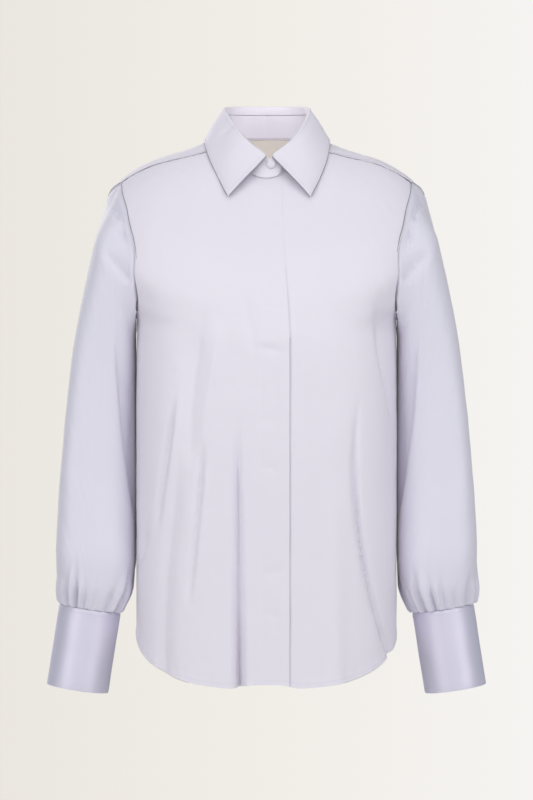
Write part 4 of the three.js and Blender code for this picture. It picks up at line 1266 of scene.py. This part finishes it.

# The sleeves' copy of the satin is darker and bluer: painted shade.
SLEEVE_PAINTED_SHADE = (0.925, 0.94, 0.965)
# The cuffs' copy of the satin is darker and bluer too: painted shade; their glossier finish is
# PRESSED.
CUFF_PAINTED_SHADE = (0.92, 0.925, 0.985)
SOFT = {"Anisotropic": 0.5, "Sheen_Weight": 0.75, "Metallic": 0.04}
PRESSED = {"Anisotropic": 0.5, "Anisotropic_Rotation": 0.25, "Metallic": 0.5}
paint(satin("satin", **SOFT), *soft)
paint(satin("satin of the sleeves with painted shade", SLEEVE_PAINTED_SHADE, **SOFT), *sleeves)
paint(satin("pressed satin with painted shade", CUFF_PAINTED_SHADE, **PRESSED), *cuffs)
paint(woven_label(), *labels)
paint(covered(), *buttons())
topstitch = thread("lavender thread")
for name, stitches, slot, finish in (
    ("stitching_body", body_stitches, "satin", topstitch),
    ("stitching_collar", collar_stitches, "satin", topstitch),
    ("stitching_cuffs", cuff_stitches, "satin", topstitch),
    ("stitching_label", label_stitches, "label", topstitch),
    # The piece named seams is dark thread as painted shade along seams and free edges.
    ("seams", painted_shade_lines, "satin", thread("dark thread as painted shade", SHADE_LINE_LIGHTNESS)),
):
    piece = stitches.make(name)
    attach(piece, "root")
    paint(finish, piece)


# ---------- Floor, backdrop, light and camera ----------
FLOOR_Z = -1.25
BACKDROP_REACH = 0.09  # how far to each side its tones run
# Backdrop tones from left to right, darker to lighter: painted light falloff.
BACKDROP = [(0, (0.823, 0.791, 0.745)), (0.5, (0.88, 0.848, 0.80)), (1, (0.921, 0.904, 0.888))]


def studio():
    ring = np.linspace(0, TAU, 96, endpoint=False)
    mesh = bpy.data.meshes.new("floor")
    points = vector(np.cos(ring), np.sin(ring), FLOOR_Z)
    mesh.from_pydata(points.tolist(), [], [list(range(len(ring)))])
    floor, finish = add_object("floor", mesh), material("pale floor")
    finish.set(Base_Color=(0.86, 0.83, 0.79, 1), Roughness=0.8)
    paint(finish, floor)

    # What lights the blouse is an even sky, and what the camera sees is a backdrop of three tones,
    # darker and warmer to the left and lighter to the right: a painted falloff of light.
    bpy.context.scene.world = bpy.data.worlds.new("studio")
    sky = Nodes(bpy.context.scene.world, "Background")
    sky.set(Color=(0.89, 0.95, 1.03, 1), Strength=0.38)
    way = sky.add("ShaderNodeTexCoord", output="Generated")
    across = sky.add("ShaderNodeSeparateXYZ", {0: way})
    shade = {"Value": across, "From Min": -BACKDROP_REACH, "From Max": BACKDROP_REACH}
    tint = sky.add("ShaderNodeValToRGB", {"Fac": sky.add("ShaderNodeMapRange", shade)})
    elements = tint.node.color_ramp.elements
    while len(elements) < len(BACKDROP):
        elements.new(0.5)
    for element, (position, colour) in zip(elements, BACKDROP):
        element.position = position
        element.color = (*colour, 1)
    seen = sky.add("ShaderNodeBackground", {"Color": tint})
    rays = sky.add("ShaderNodeLightPath", output="Is Camera Ray")
    mixed = sky.add("ShaderNodeMixShader", {"Fac": rays, 1: sky.shader.outputs[0], 2: seen})
    sky.put(mixed, sky.tree.nodes["World Output"].inputs["Surface"])


WARM = (1.0, 0.958, 0.93)
SOFTBOXES = [
    # name, place, where it points, size, watts, spread in degrees
    ("front", (0, -4.1, 1.0), (0, 0, -0.2), (3.6, 1.8), 41, 180),
    ("left", (-2.9, -2.8, 0.4), (0, 0, -0.35), (2.6, 2.4), 43, 180),
    ("right", (2.9, -2.8, 0.4), (0, 0, -0.35), (2.6, 2.4), 43, 180),
    ("top", (0, -1.4, 2.4), (0, 0, -0.1), (2.4, 1.0), 11, 180),
    ("back", (-1.9, 3.6, 1.2), (0, 0, -0.35), (2.0, 2.0), 52, 180),
    ("neck", (0, -0.03, 0.25), (0, 0.05, -0.05), (0.12, 0.08), 0.02, 90),
    ("inside", (0, -0.05, -0.12), (0, 0.08, -0.03), (0.08, 0.05), 0.05, 120),
]


def softbox(name, location, aim, size, power, spread):
    data = bpy.data.lights.new(name, "AREA")
    data.shape = "RECTANGLE"
    data.size, data.size_y = size
    data.energy, data.color = power, WARM
    data.spread = math.radians(spread)
    light = add_object(name, data)
    light.location = location
    direction = np.array(aim, float) - np.array(location, float)
    light.rotation_mode = "QUATERNION"
    light.rotation_quaternion = Vector(direction).to_track_quat("-Z", "Y")
    light.visible_camera = False


CAMERA_DISTANCE = 4.0
CAMERA_Z = -0.338
FRAME_HEIGHT = 1.04  # of the view, at the blouse's middle


def camera():
    data = bpy.data.cameras.new("camera")
    data.lens = data.sensor_width * CAMERA_DISTANCE / FRAME_HEIGHT
    data.clip_start, data.clip_end = 0.1, 50
    view = add_object("camera", data)
    view.location = (0, -CAMERA_DISTANCE, CAMERA_Z)
    view.rotation_euler = (math.pi / 2, 0, 0)
    bpy.context.scene.camera = view


studio()
for box in SOFTBOXES:
    softbox(*box)
camera()
bpy.context.scene.view_settings.view_transform = "Standard"
